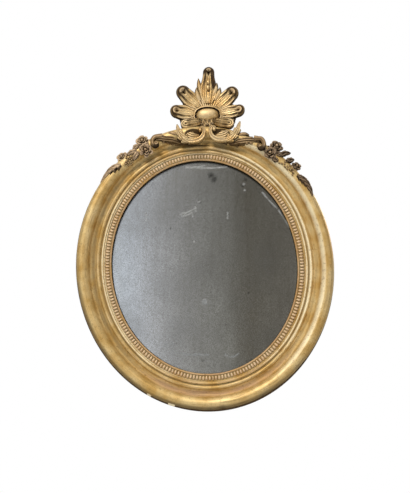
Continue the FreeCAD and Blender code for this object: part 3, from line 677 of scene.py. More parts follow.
# a lobe whose raised rim runs round the tip, with a tongue inside
def addFrond(shape, root, angle, length, changes):
    look = dict(frondLook, **changes)
    turn = math.radians(angle)
    outwards = Vector((math.sin(turn), 0, math.cos(turn)))
    across = Vector((math.cos(turn), 0, -math.sin(turn)))
    start = crestPoint(root[0], root[1], look["depth"])
    axis, widths = length - look["tip"], look["halfWidth"]
    rows, arc, half = 36, 26, 30
    columns = 2 * half + 1
    spots = []  # distance along, distance across, share of the way to the edge, how far round the tip
    for i in range(rows + 1):
        for j in range(-half, half + 1):
            spots.append((axis * i / rows, j / half * readList(widths, i / rows), abs(j) / half, 0.0))
    for k in range(arc + 1):
        swing = math.pi * (k / arc - 0.5)
        for j in range(half + 1):
            r = j / half
            ahead = math.cos(swing)
            spots.append((axis + r * look["tip"] * ahead, r * widths[-1] * math.sin(swing), r, ahead))
    front, back = [], []
    paint = {"groove": [], "worn": [], "along": []}
    for t, w, r, ahead in spots:
        end = smoothStep(t, axis - 0.16 * length, axis)
        blended = [readList(look["side" + key], r) * (1 - end) + readList(look["end" + key], r) * end
                   for key in ("", "Groove", "Worn")]
        base = start + outwards * (t * mm) + toViewer * (look["lean"] * (t / length) ** 2 * mm)
        cut = (0.5 - 0.5 * math.cos(2 * math.pi * look["flutes"] * r)) * (1 - end)
        dome = look["crown"] * (1 - r * r) * (1 - end) - look["fluteDepth"] * cut
        chip = 0.35 * noise.noise(base * 130 + across * (w * 0.13))
        height = (blended[0] + dome + chip) * look["relief"]
        front.append(base + across * (w * mm) + toViewer * (height * mm))
        back.append(base + across * (w * 0.97 * mm) - toViewer * (look["thick"] * mm))
        # painted shade over the right half, in the hollow of the curled tip and down the flutes
        shade = look["smoke"] * smoothStep(w / max(widths), 0.2, 0.5)
        shade *= smoothStep(t, 0.2 * length, 0.5 * length)
        fade = 0.25 + 0.75 * smoothStep(t, 0.2 * length, 0.65 * length)  # paler near the root
        hood = look["hood"] * end * (1 - smoothStep(ahead, 0.15, 0.75))
        paint["groove"].append(max((blended[1] + 0.65 * cut) * fade, shade, hood))
        paint["worn"].append(blended[2] * (1 - 0.6 * cut) * (1 - hood))
        paint["along"].append((t * mm, w * mm, 0.0))
    count, first = len(spots), (rows + 1) * columns
    faces = []
    for layer in (0, count):
        faces += gridFaces(rows + 1, columns, layer) + gridFaces(arc + 1, half + 1, first + layer)
    rim = [i * columns for i in range(rows + 1)]
    rim += [first + k * (half + 1) + half for k in range(1, arc)]
    rim += [i * columns + columns - 1 for i in range(rows, -1, -1)]
    rim += list(range(columns - 2, 0, -1))
    faces += [(a, a + count, b + count, b) for a, b in zip(rim, rim[1:] + rim[:1])]
    doubled = {label: values + values for label, values in paint.items()}
    addPart(shape, front + back, faces, bare=[0.0] * count + [1.0] * count, **doubled)


leafletLook = {
    "places": ((-1, (11, 52), (20, 91), 6.5), (-1, (17, 42), (24, 70), 6.5), (1, (12, 52), (21, 80), 6.0),
               (1, (17, 42), (28, 69), 7.0)),  # side, foot, tip, half width
    "leaf": {"crown": [3.5, 3.5, 2.5, 1.2], "cut": [0.8, 1.6, 1.2, 0.3], "thick": [4.0, 4.0, 3.0, 1.5],
             "ribs": 1, "rows": 24, "columns": 18, "grime": 0.6},
    "husks": ((2.2, 80, 4.4, 44.0), (1.6, 68, 5.0, 43.0)),  # place, size, depth
}


def addLeaflets(shape):  # leaflets at each edge of the centre frond, and two husks down its middle
    look = leafletLook
    for hand, foot, tip, wide in look["places"]:
        middle = ((foot[0] + tip[0]) / 2 + 2.0, (foot[1] + tip[1]) / 2)
        line = [crestPoint(hand * x, z, d) for (x, z), d in ((foot, 34.5), (middle, 38.5), (tip, 42.0))]
        widths = [wide * 0.7, wide, wide * 0.9, wide * 0.6, 0.8]
        addLeaf(shape, makeSpine(smoothPath(line, 16)), dict(look["leaf"], halfWidth=widths))
    for x, z, size, depth in look["husks"]:
        radii = (size * 0.8, size * 1.35, size)
        addKnob(shape, crestPoint(x, z, depth), (rightwards, upwards, toViewer), radii, 0.2)


def makeFronds():
    look = frondLook
    for name in ("centre", "upper_left", "upper_right", "lower_left", "lower_right"):
        shape = newShape()
        one = look[name]
        turn = math.radians(one["angle"])
        root = (look["root"] * math.sin(turn), look["focus"] + look["root"] * math.cos(turn))
        addFrond(shape, root, one["angle"], one["reach"] - look["root"], one)
        if name == "centre":
            addLeaflets(shape)
        finishShape(shape, "shell_frond_" + name, crestGilding, ["frond_" + name])
    print("fronds carved")


webLook = {
    "reach": [66, 66, 66, 62, 50, 28, 28],  # mm, from the top round to the foot
    "back": 20.2,
    "depth": 34.5,
    "flutes": 46,
    "cut": 2.0,
    "dome": 3.4,  # mm, higher in the middle
    "dip": 5.0,  # mm, lower round the boss
}


def makeWeb():
    look = webLook
    shape = newShape()
    rings, spokes = 24, 276
    points, groove, worn = [], [], []
    for i in range(rings + 1):
        share = 0.02 + 0.98 * i / rings
        for k in range(spokes):
            angle = 360 * k / spokes - 180
            turn = math.radians(angle)
            ridge = abs(math.cos(turn * look["flutes"] / 2)) ** 0.7
            reach = share * readList(look["reach"], abs(angle) / 180) * (0.97 + 0.03 * ridge)
            fade = smoothStep(share, 0.35, 0.6)
            depth = look["depth"] + look["dome"] * (1 - share ** 3) - look["cut"] * fade * (1 - ridge)
            x, z = reach * math.sin(turn), reach * math.cos(turn)
            near = math.hypot(x / bossLook["halfWidth"], (z - bossLook["middle"]) / bossLook["halfHeight"])
            depth -= look["dip"] * (1 - smoothStep(near, 1.1, 1.4))
            points.append(crestPoint(x, z, depth))
            # painted shade in the flutes, on the outer edge and over the lower part under the fronds
            low = fade * (1 - ridge) + smoothStep(share, 0.9, 1.0) + smoothStep(abs(angle), 85, 110)
            groove.append(min(1.0, low))
            worn.append(0.6 * ridge)
    count = len(points)
    points += [Vector((p.x, -look["back"] * mm, p.z)) for p in points[rings * spokes:]]
    faces = gridFaces(rings + 2, spokes, ring=True)
    faces += [tuple(range(spokes)), tuple(range(count, count + spokes))]
    bare = [0.0] * count + [1.0] * spokes
    addPart(shape, points, faces, groove=groove + [1.0] * spokes, worn=worn + [0.0] * spokes, bare=bare)
    finishShape(shape, "shell_web", crestGilding, ["crest_ground"])
    print("web fluted")


bossLook = {
    "halfWidth": 24.5,
    "halfHeight": 15.0,
    "middle": 7.5,  # mm above the middle of the solid boss
    "rise": 15.5,
    "foot": 3.0,  # mm, where the dome starts
    "moat": 2.2,  # mm wide
    "collar": 7.5,
    "depth": 32.0,
    "fullness": 0.9,  # below 1 the outline is fuller than an ellipse
    # foot, angle and length of the small leaves below
    "husks": ((0, -4, 180, 17), (8, -4, 163, 15), (-8, -4, -160, 16), (15, -2, 140, 14),
              (-15, -2, -143, 14), (4.5, -12, 171, 13), (-4.5, -12, -172, 13)),
    "husk": {"halfWidth": [3.0, 4.2, 4.6, 4.0], "tip": 4.0, "depth": 39.5, "thick": 8.0, "lean": 2.0,
             "relief": 0.6, "flutes": 1.0},
}


def makeBoss():
    look = bossLook
    shape = newShape()
    moat, collar = look["moat"], look["collar"]
    outline = []  # growth beyond the dome's edge, rise above the ground, grime with painted shade, and wear
    for i in range(17):
        polar = 0.5 * math.pi * i / 16
        rise = look["foot"] + (look["rise"] - look["foot"]) * math.cos(polar)
        outline.append((math.sin(polar) - 1, rise, 0.0, 0.55 * math.cos(polar)))
    # painted shade round the moat and at the foot of the collar
    outline += [(0.15, 2.2, 1.0, 0.0), (moat * 0.5, 1.6, 1.0, 0.0), (moat, 2.4, 1.0, 0.0)]
    for i in range(1, 11):
        share = i / 10
        rise = 2.4 + 4.4 * math.sin(math.pi * share ** 0.6) * (1 - 0.4 * share)
        outline.append((moat + collar * share, rise, 1.3 if share < 0.25 else 0.1, 0.5))
    outline.append((moat + collar + 0.4, 0.0, 1.0, 0.0))
    columns = 72
    points, groove, worn = [], [], []
    for grow, rise, low, rub in outline:
        inside, beyond = 1 + min(grow, 0.0), max(grow, 0.0)
        for k in range(columns):
            turn = 2 * math.pi * k / columns
            across = math.copysign(abs(math.cos(turn)) ** look["fullness"], math.cos(turn))
            up = math.copysign(abs(math.sin(turn)) ** look["fullness"], math.sin(turn))
            x = (look["halfWidth"] * inside + beyond) * across
            z = (look["halfHeight"] * inside + beyond) * up + look["middle"]
            points.append(crestPoint(x, z, look["depth"] + rise))
            groove.append(low)
            worn.append(rub)
    rows = len(outline)
    faces = gridFaces(rows, columns, ring=True) + [tuple(range((rows - 1) * columns, rows * columns))]
    addPart(shape, points, faces, groove=groove, worn=worn)
    for x, z, angle, length in look["husks"]:
        addFrond(shape, (x, z), angle, length, look["husk"])
    finishShape(shape, "boss_dome", crestGilding, ["boss"])
    print("boss raised")


scrollLook = {
    "depth": 51.0,
    "drop": {"right": -2.5, "left": -4.0},  # mm, the two were never quite level
    "band": [(18.5, -29.5), (15.5, -25), (10.5, -24), (7.2, -28.5), (6.8, -36), (10.5, -45), (19, -51.5),
             (30, -54), (41, -52.5), (49, -47)],
    "halfWidth": [2.6, 3.0, 3.4, 3.8, 4.4, 5.2, 5.8, 5.6, 4.8, 3.4],
    "rise": [5.6, 6.6, 7.0, 7.0, 7.0, 6.3, 4.2],
    "sink": 10.0,
    "eye": (14.6, -30.0, 4.2),
    "inner": ((18, -39, 46), (25, -41, 48), (33, -41, 49), (41, -37, 48), (48, -28, 45)),
    "innerLeaf": {"halfWidth": [3.0, 7.5, 10.0, 9.0, 2.5], "crown": [2, 3, 3.5, 1.5],
                  "cut": [0.5, 1.4, 1.6, 0.6], "thick": [6, 8, 8, 5], "ribs": 4, "rows": 40, "columns": 32},
}
lobeLook = {  # small shell lobe that hangs beside the boss
    "root": (13.0, -9.0),
    "angle": 99.0,
    "length": 46.0,
    "frond": {"tip": 10.5, "halfWidth": [6, 8.5, 10.5, 11.5, 11.5, 11], "depth": 41.0, "thick": 9.0,
              "lean": 2.0, "flutes": 8.0, "fluteDepth": 0.9,
              "side": [4.6, 4.9, 5.0, 4.8, 4.2, 3.4, 4.0, 4.0, 3.2, 2.0, -1.0],
              "sideGroove": [0, 0, 0.1, 0.2, 0.5, 0.9, 0.2, 0, 0.1, 0.5, 1],
              "end": [1.0, 2.4, 3.6, 4.6, 4.2, 3.4, 4.0, 4.0, 3.2, 2.0, -1.0],
              "endGroove": [1, 0.6, 0.2, 0, 0.5, 0.9, 0.2, 0, 0.1, 0.5, 1],
              "endWorn": frondLook["sideWorn"]},
}
acanthusLook = {  # leaf that springs from the scroll
    "line": {"right": ((27, -57, 48), (44, -55, 51), (56, -47, 51), (64.5, -34, 50), (71, -13, 46)),
             "left": ((-27, -58, 48), (-43, -56, 51), (-54, -48, 51), (-61, -36, 50), (-66, -17, 46))},
    "leaf": {"halfWidth": [3.0, 8.5, 12.0, 11.0, 8.0, 1.6], "crown": [4, 6, 6.5, 5, 2],
             "cut": [0.5, 1.5, 1.7, 0.9], "thick": [8, 12, 12, 6, 3], "ribs": 5, "slant": 2.0,
             "teeth": 5, "toothDepth": 0.5, "ink": 0.85, "rows": 80, "columns": 44},
}


def scrollSection(u, angle):  # a hollow band with two raised edges, with painted shade underneath and in the hollow
    look = scrollLook
    a, n = math.cos(angle), math.sin(angle)
    across = a * readList(look["halfWidth"], u)
    if n < 0:
        return across, n * look["sink"], 0.9
    hollow = math.exp(-(a / 0.42) ** 2)
    return across, readList(look["rise"], u) * (n ** 0.6 - 0.42 * hollow), 0.55 * hollow


def makeScrolls():
    look = scrollLook
    for side, name in ((1, "right"), (-1, "left")):
        shape = newShape()
        drop = look["drop"][name]
        line = smoothPath([crestPoint(side * x, z + drop, look["depth"]) for x, z in look["band"]], 84)
        addRod(shape, makeSpine(line), scrollSection, 28)
        x, z, size = look["eye"]
        eye = crestPoint(side * x, z + drop, look["depth"] + 1.5)
        addKnob(shape, eye, (rightwards, upwards, toViewer), (size, size, 6.0), 0.2)
        line = smoothPath([crestPoint(side * x, z + drop, d) for x, z, d in look["inner"]], 44)
        addLeaf(shape, makeSpine(line), look["innerLeaf"])
        finishShape(shape, "c_scroll_band_" + name, crestGilding, ["c_scroll_" + name])

        shape = newShape()
        x, z = lobeLook["root"]
        addFrond(shape, (side * x, z), side * lobeLook["angle"], lobeLook["length"], lobeLook["frond"])
        nodes = ["shell_lobe_" + name]
        finishShape(shape, "shell_lobe_carved_" + name, crestGilding, nodes)

        shape = newShape()
        line = smoothPath([crestPoint(*place) for place in acanthusLook["line"][name]], 44)
        addLeaf(shape, makeSpine(line), acanthusLook["leaf"])
        nodes = ["acanthus_leaf_" + name]
        finishShape(shape, "acanthus_carved_" + name, crestGilding, nodes)
    print("scrolls, lobes and acanthus carved")


def torusDepth(offset):
    inside = min(max(offset, 46.0), 74.0)
    arc = arcThrough(*mouldingLook["torus"][:3], 60)
    return ovalShape["glassDepth"] + min(arc, key=lambda place: abs(place[0] - inside))[1]


leafScrollLook = {  # places are station from the crest and offset, the two sides were never quite alike
    "line": {"right": ((11.5, 45), (14.5, 49), (16.8, 54), (19.7, 61), (22.0, 65.5), (24.2, 68)),
             "left": ((11.5, 42), (14.5, 46.5), (17.2, 51.5), (20.0, 56), (22.0, 60), (24.2, 64))},
    "leaf": {"halfWidth": [5.0, 8.5, 10.0, 10.0, 8.5, 6.0], "crown": [4, 6, 6.5, 6.5, 6],
             "cut": [0.8, 2.4, 2.8, 2.4], "thick": [7, 7, 7, 6], "ribs": 4, "teeth": 4,
             "toothDepth": 0.28, "rows": 60, "columns": 40, "roll": 1.5, "grime": 0.25},
    "sink": 2.5,  # mm below the face of the torus
    # and depth
    "hook": {"right": ((21.5, 70, 49), (23.2, 72.5, 50), (24.4, 74.8, 51), (25.8, 72.1, 52),
                       (27.0, 66.1, 52.5), (27.3, 57.5, 53), (26.1, 55.0, 53.5), (25.3, 58.5, 54)),
             "left": ((21.0, 64, 49), (22.7, 65.9, 50), (24.3, 67.3, 51), (25.8, 63.4, 52),
                      (26.6, 54.8, 52.5), (26.1, 48.2, 53), (24.8, 48.0, 53.5), (24.9, 52.4, 54))},
    "tube": 6.2,
    # station, distance below the line and size
    "lumps": ((15.6, -8.5, 2.6), (17.6, -9.0, 3.0), (19.6, -9.0, 3.2), (21.4, -8.5, 2.8)),
    # mm from the boss, and depth
    "tip": {"right": ((66, -45, 46), (74, -43.5, 47.5), (82, -42.5, 47.5), (90.5, -45, 46)),
            "left": ((-63, -41, 46), (-70, -39, 47.5), (-78, -37.5, 47.5), (-86, -38, 46))},
    "tipLeaf": {"halfWidth": [3.5, 5.0, 5.2, 4.0, 1.5], "crown": [3, 4, 3.5, 2],
                "cut": [0.4, 1.0, 1.0, 0.4], "thick": [7, 7, 7, 6], "ribs": 1, "rows": 24, "columns": 18,
                "grime": 0.5},
}


# the rolled leaf end, thinner towards the eye, with painted shade below, along the cut on it and towards
# its end
def hookSection(u, angle):
    size = leafScrollLook["tube"] * (1 - 0.45 * u)
    a, n = math.cos(angle), math.sin(angle)
    if n < 0:
        return a * size, n * size * 2.4, 0.9
    cut = math.exp(-((a - 0.35) / 0.2) ** 2)
    low = max(0.9 * cut, 1.3 - 1.5 * n, 0.9 * smoothStep(u, 0.5, 0.7))
    return a * size, size * (1.15 * n - 0.2 * cut), low


def makeLeafScrolls():
    look = leafScrollLook
    base = ovalShape["crestStation"]
    for side, name in ((1, "right"), (-1, "left")):
        shape = newShape()
        line = look["line"][name]
        path = [ovalPoint(base + side * s, o, torusDepth(o) - look["sink"]) for s, o in line]
        addLeaf(shape, makeSpine(smoothPath(path, 40)), look["leaf"])
        path = [crestPoint(*place) for place in look["tip"][name]]
        addLeaf(shape, makeSpine(smoothPath(path, 24)), look["tipLeaf"])
        path = [ovalPoint(base + side * s, o, d) for s, o, d in look["hook"][name]]
        addRod(shape, makeSpine(smoothPath(path, 72)), hookSection, 20)
        addKnob(shape, path[-1], (rightwards, upwards, toViewer), (5.5, 5.5, 5.0), 0.6)
        for station, below, size in look["lumps"]:
            share = (station - line[0][0]) / (line[-1][0] - line[0][0])
            offset = readList([o for _, o in line], share) + below
            centre = ovalPoint(base + side * station, offset, torusDepth(offset) + 0.6)
            up = ovalNormal(base + side * station)
            along = Vector((up.z, 0, -up.x))
            addKnob(shape, centre, (along, up, toViewer), (size * 1.3, size * 0.9, size), 0.1)
        nodes = ["leaf_scroll_" + name]
        finishShape(shape, "leaf_scroll_carved_" + name, leafGilding, nodes)
    print("leaf scrolls carved")


makeFronds()
makeWeb()
makeBoss()
makeScrolls()
makeLeafScrolls()


# garlands of roses on both shoulders

garlandLook = {  # places are station from the crest, offset and depth; then radius, height, tilt and turn
    "right": {
        "rose_front_": (31.2, 60.0, 46.5, 15.0, 12.0, -2, 0.1),
        "rose_upper_": (31.4, 79.5, 40.5, 15.5, 13.0, 18, 0.35),
        "small_flower_": (43.4, 77.5, 39.0, 11.5, 10.0, 22, 0.2),
        "spray": (((34.4, 64, 49.0), (35.4, 74, 48.5), (36.4, 82, 47.5), (37.8, 89, 45.5)),
                  ((38.8, 68, 48.5), (39.4, 75, 47.5), (40.2, 80, 46.0), (40.8, 84, 44.5)),
                  ((28.4, 71, 45.0), (30.0, 69, 47.0), (32.8, 69.5, 47.0), (35.4, 71, 46.0)),
                  ((33.4, 57, 48.5), (35.0, 56, 48.5), (37.0, 58, 47.0))),
        "trail": ((46.8, 65), (50.0, 71.0), (53.8, 72.0), (58.0, 68)),
        "berries": ((37.4, 55, 2.2), (38.4, 58, 2.6), (39.3, 62, 2.4), (38.8, 66, 2.2), (40.4, 57.5, 2.8),
                    (41.2, 62, 2.4), (42.0, 57, 2.4), (43.0, 61, 3.0), (44.6, 62, 3.4), (43.6, 66, 2.4),
                    (41.8, 67, 2.2), (45.4, 57.5, 2.2)),  # place and size
        "smoke": 0.58,  # painted shade: the side away from the window is darker
    },
    "left": {
        "rose_front_": (30.9, 52.5, 45.5, 16.0, 12.8, -6, 0.1),
        "rose_upper_": (29.9, 73.5, 42.0, 15.5, 12.5, 16, 0.35),
        "small_flower_": (41.3, 72.5, 40.0, 13.0, 10.0, 18, 0.2),
        "spray": (((32.4, 69, 49.5), (33.8, 70.5, 50.0), (35.8, 68, 48.5)),
                  ((34.4, 61, 51.0), (36.6, 65, 51.5), (39.2, 68, 49.5)),
                  ((34.2, 57, 51.5), (36.4, 53.5, 51.0), (38.4, 49.5, 48.0)),
                  ((28.0, 63, 49.0), (30.0, 62, 50.0), (33.0, 63, 49.5))),
        "trail": ((44.2, 60), (47.4, 68.0), (51.2, 72.0), (56.0, 72)),
        "berries": ((38.5, 64, 2.2), (39.6, 66, 2.0), (40.4, 63, 2.2), (38.9, 60.5, 2.0), (39.9, 60, 2.3),
                    (38.4, 57, 2.2), (39.4, 56.2, 2.0), (40.5, 57.4, 2.1), (38.9, 53, 2.3),
                    (40.0, 52.6, 2.2), (38.4, 50, 2.0), (39.4, 49, 2.2), (41.2, 52, 2.8),
                    (41.6, 57, 2.6), (42.4, 54, 3.0), (40.6, 47.5, 2.6), (42.0, 48.8, 2.4)),
        "smoke": 0.0,
    },
    "sprayLeaf": {"halfWidth": [2.5, 5.6, 6.6, 5.2, 1.4], "crown": [2.0, 3.2, 3.4, 1.8],
                  "cut": [0.2, 0.6, 0.6, 0.3], "thick": [6, 7, 6, 4], "ribs": 3, "slant": 2.5, "teeth": 3,
                  "toothDepth": 0.3, "ink": 0.6, "midrib": 1.0, "rows": 40, "columns": 30},
    "trailLeaf": {"halfWidth": [4.0, 10.0, 12.0, 10.5, 6.5, 1.6], "crown": [2.5, 4.5, 5.0, 3.5, 1.5],
                  "cut": [0.3, 0.8, 0.9, 0.7, 0.3], "thick": [6, 8, 8, 6, 4], "ribs": 3, "slant": 4.0,
                  "teeth": 5, "toothDepth": 0.34, "ink": 0.65, "midrib": 1.2, "rows": 80, "columns": 36},
    "trailTilt": 43,  # degrees, leaning over the outer side of the torus
}
roseLook = (  # petals, inner and outer reach, low and high, spread, turn, curl
    (6, 0.34, 1.0, 0.02, 0.46, 0.60, 0.0, 2.2),
    (5, 0.26, 0.76, 0.2, 0.78, 0.68, 0.5, 1.4),
    (3, 0.16, 0.50, 0.42, 0.98, 0.98, 0.2, 0.7),
)


def torusAxes(station, tilt):  # sideways, up and facing for a carving that tips outwards
    outwards = ovalNormal(station)
    sideways = Vector((outwards.z, 0, -outwards.x))
    facing = toViewer * math.cos(math.radians(tilt)) + outwards * math.sin(math.radians(tilt))
    return sideways, facing.cross(sideways).normalized(), facing


def addPetal(shape, centre, axes, middle, look, smoke):  # cupped, with a rolled lip; painted shade at the heart and sides, rubbed wear with painted highlight on the lip
    rows, columns = 12, 12
    inner, outer, low, high, spread, curl = look
    front, back, groove, worn = [], [], [], []
    for i in range(rows):
        t = i / (rows - 1)
        for j in range(columns):
            s = 2 * j / (columns - 1) - 1
            lip = 1 - 0.36 * abs(s) ** 2.5
            reach = inner + (outer - inner) * t * lip
            turn = middle + s * spread * (0.7 + 0.3 * math.sin(0.8 * math.pi * t))
            rise = low + (high - low) * t ** 0.65 * lip + 1.2 * abs(s) * t
            rise -= curl * 8 * max(0.0, t - 0.68) ** 2  # the lip turns down
            out = axes[0] * math.cos(turn) + axes[1] * math.sin(turn)
            place = centre + (out * reach + axes[2] * rise) * mm
            front.append(place)
            back.append(place - (axes[2] * 1.8 + out * 0.7) * mm)
            # painted shade at the heart and sides of each petal, painted highlight on its lip
            heart, side = 1 - smoothStep(t, 0.35, 0.68), smoothStep(abs(s), 0.75, 1.0)
            groove.append(1.1 * heart + 0.7 * side + smoke)
            worn.append(smoothStep(t, 0.6, 0.9) * (1 - smoothStep(abs(s), 0.6, 0.9)))
    addSheet(shape, front, back, columns, groove=groove, worn=worn)


def addRose(shape, station, offset, depth, radius, height, tilt, turn, smoke):
    axes = torusAxes(station, tilt)
    centre = ovalPoint(station, offset, depth)
    for count, inner, outer, low, high, spread, shift, curl in roseLook:
        for index in range(count):
            middle = 2 * math.pi * (index + turn + shift) / count
            reach = outer * radius * random.uniform(0.9, 1.06)
            top = high * height * random.uniform(0.86, 1.0)
            size = (inner * radius, reach, low * height, top, spread * random.uniform(0.85, 1.1), curl)
            addPetal(shape, centre, axes, middle, size, smoke)
    heart = centre + axes[2] * (height * 0.6 * mm)
    addKnob(shape, heart, axes, (radius * 0.22, radius * 0.22, height * 0.36), 0.35)
    addKnob(shape, centre - axes[2] * (4 * mm), axes, (radius * 0.64, radius * 0.64, 8.0))


def makeGarlands():
    base = ovalShape["crestStation"]
    random.seed(7)
    for side, name in ((1, "right"), (-1, "left")):
        look = garlandLook[name]
        for title in ("rose_front_", "rose_upper_", "small_flower_"):
            shape = newShape()
            station, *rest = look[title]
            addRose(shape, base + side * station, *rest, look["smoke"])
            finishShape(shape, title + "carved_" + name, roseGilding, [title + name])

        shape = newShape()
        for station, offset, size in look["berries"]:
            axes = torusAxes(base + side * station, 0)
            centre = ovalPoint(base + side * station, offset, torusDepth(offset) + size * 0.4)
            addKnob(shape, centre, axes, (size, size * random.uniform(0.8, 1.2), size), 0.45, 10, 14)
        nodes = ["berry_cluster_" + name]
        finishShape(shape, "berries_carved_" + name, leafGilding, nodes)

        shape = newShape()
        for line in look["spray"]:
            path = [ovalPoint(base + side * s, o, d) for s, o, d in line]
            spine = makeSpine(smoothPath(path, 30))
            addLeaf(shape, spine, dict(garlandLook["sprayLeaf"], smoke=look["smoke"]))
        nodes = ["spray_leaf_" + name]
        finishShape(shape, "spray_leaf_carved_" + name, roseGilding, nodes)

        shape = newShape()
        path = [ovalPoint(base + side * s, o, torusDepth(o) + 0.5) for s, o in look["trail"]]
        facing = torusAxes(base + side * look["trail"][1][0], garlandLook["trailTilt"])[2]
        spine = makeSpine(smoothPath(path, 44), facing)
        addLeaf(shape, spine, dict(garlandLook["trailLeaf"], smoke=look["smoke"]))
        nodes = ["trailing_leaf_" + name]
        finishShape(shape, "trailing_leaf_carved_" + name, roseGilding, nodes)
    print("garlands carved")


makeGarlands()


# mirror plate: tin and mercury silvering behind old plate glass.
# The eye gets a soft, cloudy grey reflection with dark specks, scratches and a painted shadow of the lip
# inside the rim at the top.

mirrorLook = {
    "silver": "#eeedee",
    "cloud": "#c6c4c3",
    "speck": "#2b2722",
    "scratch": "#ffffff",
    "crystal": "#b2afa9",
    "rings": 120,
    "spokes": 300,
    "cloudSize": 90.0,  # mm
    "bloomSize": 7.0,  # mm
    "grain": 2.4,  # mm, drawn coarser than tin crystals so that it shows
    "runWide": 11.0,  # mm, faint upright runs in the tin
    "runLong": 130.0,
    "run": "#8d8470",
    # mm from the middle, and size
    "specks": [(16, 197, 8.0), (22, 188, 8.0), (90, 186, 4.0), (84, 172, 3.0), (-8, 136, 2.6),
               (94, -62, 2.6), (46, -128, 2.2), (-2, -202, 2.6), (-72, 80, 2.6)],
    "whiteSpots": [(2, -80, 6.5), (-10, 138, 2.4), (87, 176, 3.0), (88, 163, 2.4), (-21, 50, 2.6),
                   (45, -190, 2.2)],
    "pepper": 0.52,  # more of this, fewer small specks
    "scratchBow": 1.5,  # mm
    "scratchWidth": 1.3,
    "scratches": [((-51, 111), (-17, 124)), ((-47, 107), (-26, 114)), ((-19, 127), (-18, 117)),
                  ((-26, 116), (-24, 105)), ((-126, 112), (-125, 97)), ((52, 113), (51, 100)),
                  ((128, 156), (158, 121)), ((162, 116), (184, 80)),
                  ((-84, -168), (-62, -166)), ((-78, -172), (-72, -182)), ((-70, -182), (-50, -187)),
                  ((-52, -187), (-14, -190)), ((-18, -188), (10, -190)), ((46, -190), (58, -194)),
                  ((58, -194), (70, -189)), ((-40, 217), (0, 219)), ((-14, 215), (50, 216))],
}


def scratchAway(x, z, start, end):  # mm from a slightly bowed scratch
    (ax, az), (bx, bz) = start, end
    along = ((x - ax) * (bx - ax) + (z - az) * (bz - az)) / ((bx - ax) ** 2 + (bz - az) ** 2)
    along = min(max(along, 0.0), 1.0)
    bow = mirrorLook["scratchBow"] * math.sin(math.pi * along)
    return math.hypot(x - ax - along * (bx - ax), z - az - along * (bz - az) + bow)


def silverMarks(x, z, share):  # dark specks and pale scratches at a place in mm
    look = mirrorLook
    dark, pale = 0.0, 0.0
    for sx, sz, size in look["specks"]:
        away = math.hypot(x - sx, z - sz) / size + 0.5 * noise.noise(Vector((x, z, 1)) * 0.3)
        dark = max(dark, 0.85 * max(0.0, 1.15 - away))
    for sx, sz, size in look["whiteSpots"]:
        pale = max(pale, 1.9 - 1.5 * math.hypot(x - sx, z - sz) / size)
    pepper = noise.noise(Vector((x * 0.25, z * 0.25, 4.3)))
    dark = max(dark, (pepper - look["pepper"] + 0.15 * smoothStep(share, 0.86, 1.0)) * 0.9)
    broken = max(0.45, 0.85 + 1.2 * noise.noise(Vector((x, z, 9)) * 0.11))
    for start, end in look["scratches"]:
        cut = 1.9 - scratchAway(x, z, start, end) / look["scratchWidth"]
        pale = max(pale, max(0.0, cut) * broken)
    return min(1.0, max(0.0, dark)), min(1.0, max(0.0, pale))


def silveringMaterial():
    look = mirrorLook
    material, tree = newMaterial("foxed tin silvering")
    place = addNode(tree, "TexCoord", out="Object")
    # dark specks, pale scratches and the painted shadow of the lip round the top
    speck, pale, rim = [
        addNode(tree, "Attribute", out="Fac", attribute_name=label) for label in paintLabels[:3]]
    cloud = addNode(tree, "TexNoise", {"Vector": place, "Scale": 1000 / look["cloudSize"], "Detail": 6.0})
    bloom = addNode(tree, "TexNoise", {"Vector": place, "Scale": 1000 / look["bloomSize"], "Detail": 4.0})
    grain = addNode(tree, "TexNoise", {"Vector": place, "Scale": 1000 / look["grain"], "Detail": 2.0})
    stretch = (1000 / look["runWide"], 1.0, 1000 / look["runLong"])
    upright = addNode(tree, "Mapping", {"Vector": place, "Scale": stretch})
    runs = {"Vector": upright, "Scale": 1.0, "Detail": 5.0, "Roughness": 0.65}
    runs = addNode(tree, "TexNoise", runs)
    cloudy = addNode(tree, "MapRange", {0: cloud, 1: 0.35, 2: 0.7})
    mottled = addNode(tree, "MapRange", {0: bloom, 1: 0.5, 2: 0.8, 4: 0.4})
    grainy = addNode(tree, "MapRange", {0: grain, 1: 0.4, 2: 0.7, 4: 0.7})
    stained = addNode(tree, "MapRange", {0: runs, 1: 0.5, 2: 0.72, 4: 0.2})
    dark = addNode(tree, "Math", {0: speck, 1: rim}, operation="MAXIMUM", use_clamp=True)
    colour = {0: cloudy, 6: linear(look["silver"]), 7: linear(look["cloud"])}
    colour = addNode(tree, "Mix", colour, 2, data_type="RGBA")
    layers = ((mottled, "cloud"), (grainy, "crystal"), (stained, "run"), (dark, "speck"), (pale, "scratch"))
    for share, tint in layers:
        mixed = {0: share, 6: colour, 7: linear(look[tint])}
        colour = addNode(tree, "Mix", mixed, 2, data_type="RGBA")
    shine = addNode(tree, "MapRange", {0: pale, 3: 1.0, 4: 0.0})
    hazy = addNode(tree, "Math", {0: bloom, 1: 0.25, 2: cloud}, operation="MULTIPLY_ADD")
    rough = addNode(tree, "MapRange", {0: hazy, 1: 0.4, 2: 0.95, 3: 0.08, 4: 0.24})
    surface = addNode(tree, "BsdfPrincipled", {"Base Color": colour, "Metallic": shine, "Roughness": rough})
    addNode(tree, "OutputMaterial", {"Surface": surface})
    return material


silvering = silveringMaterial()


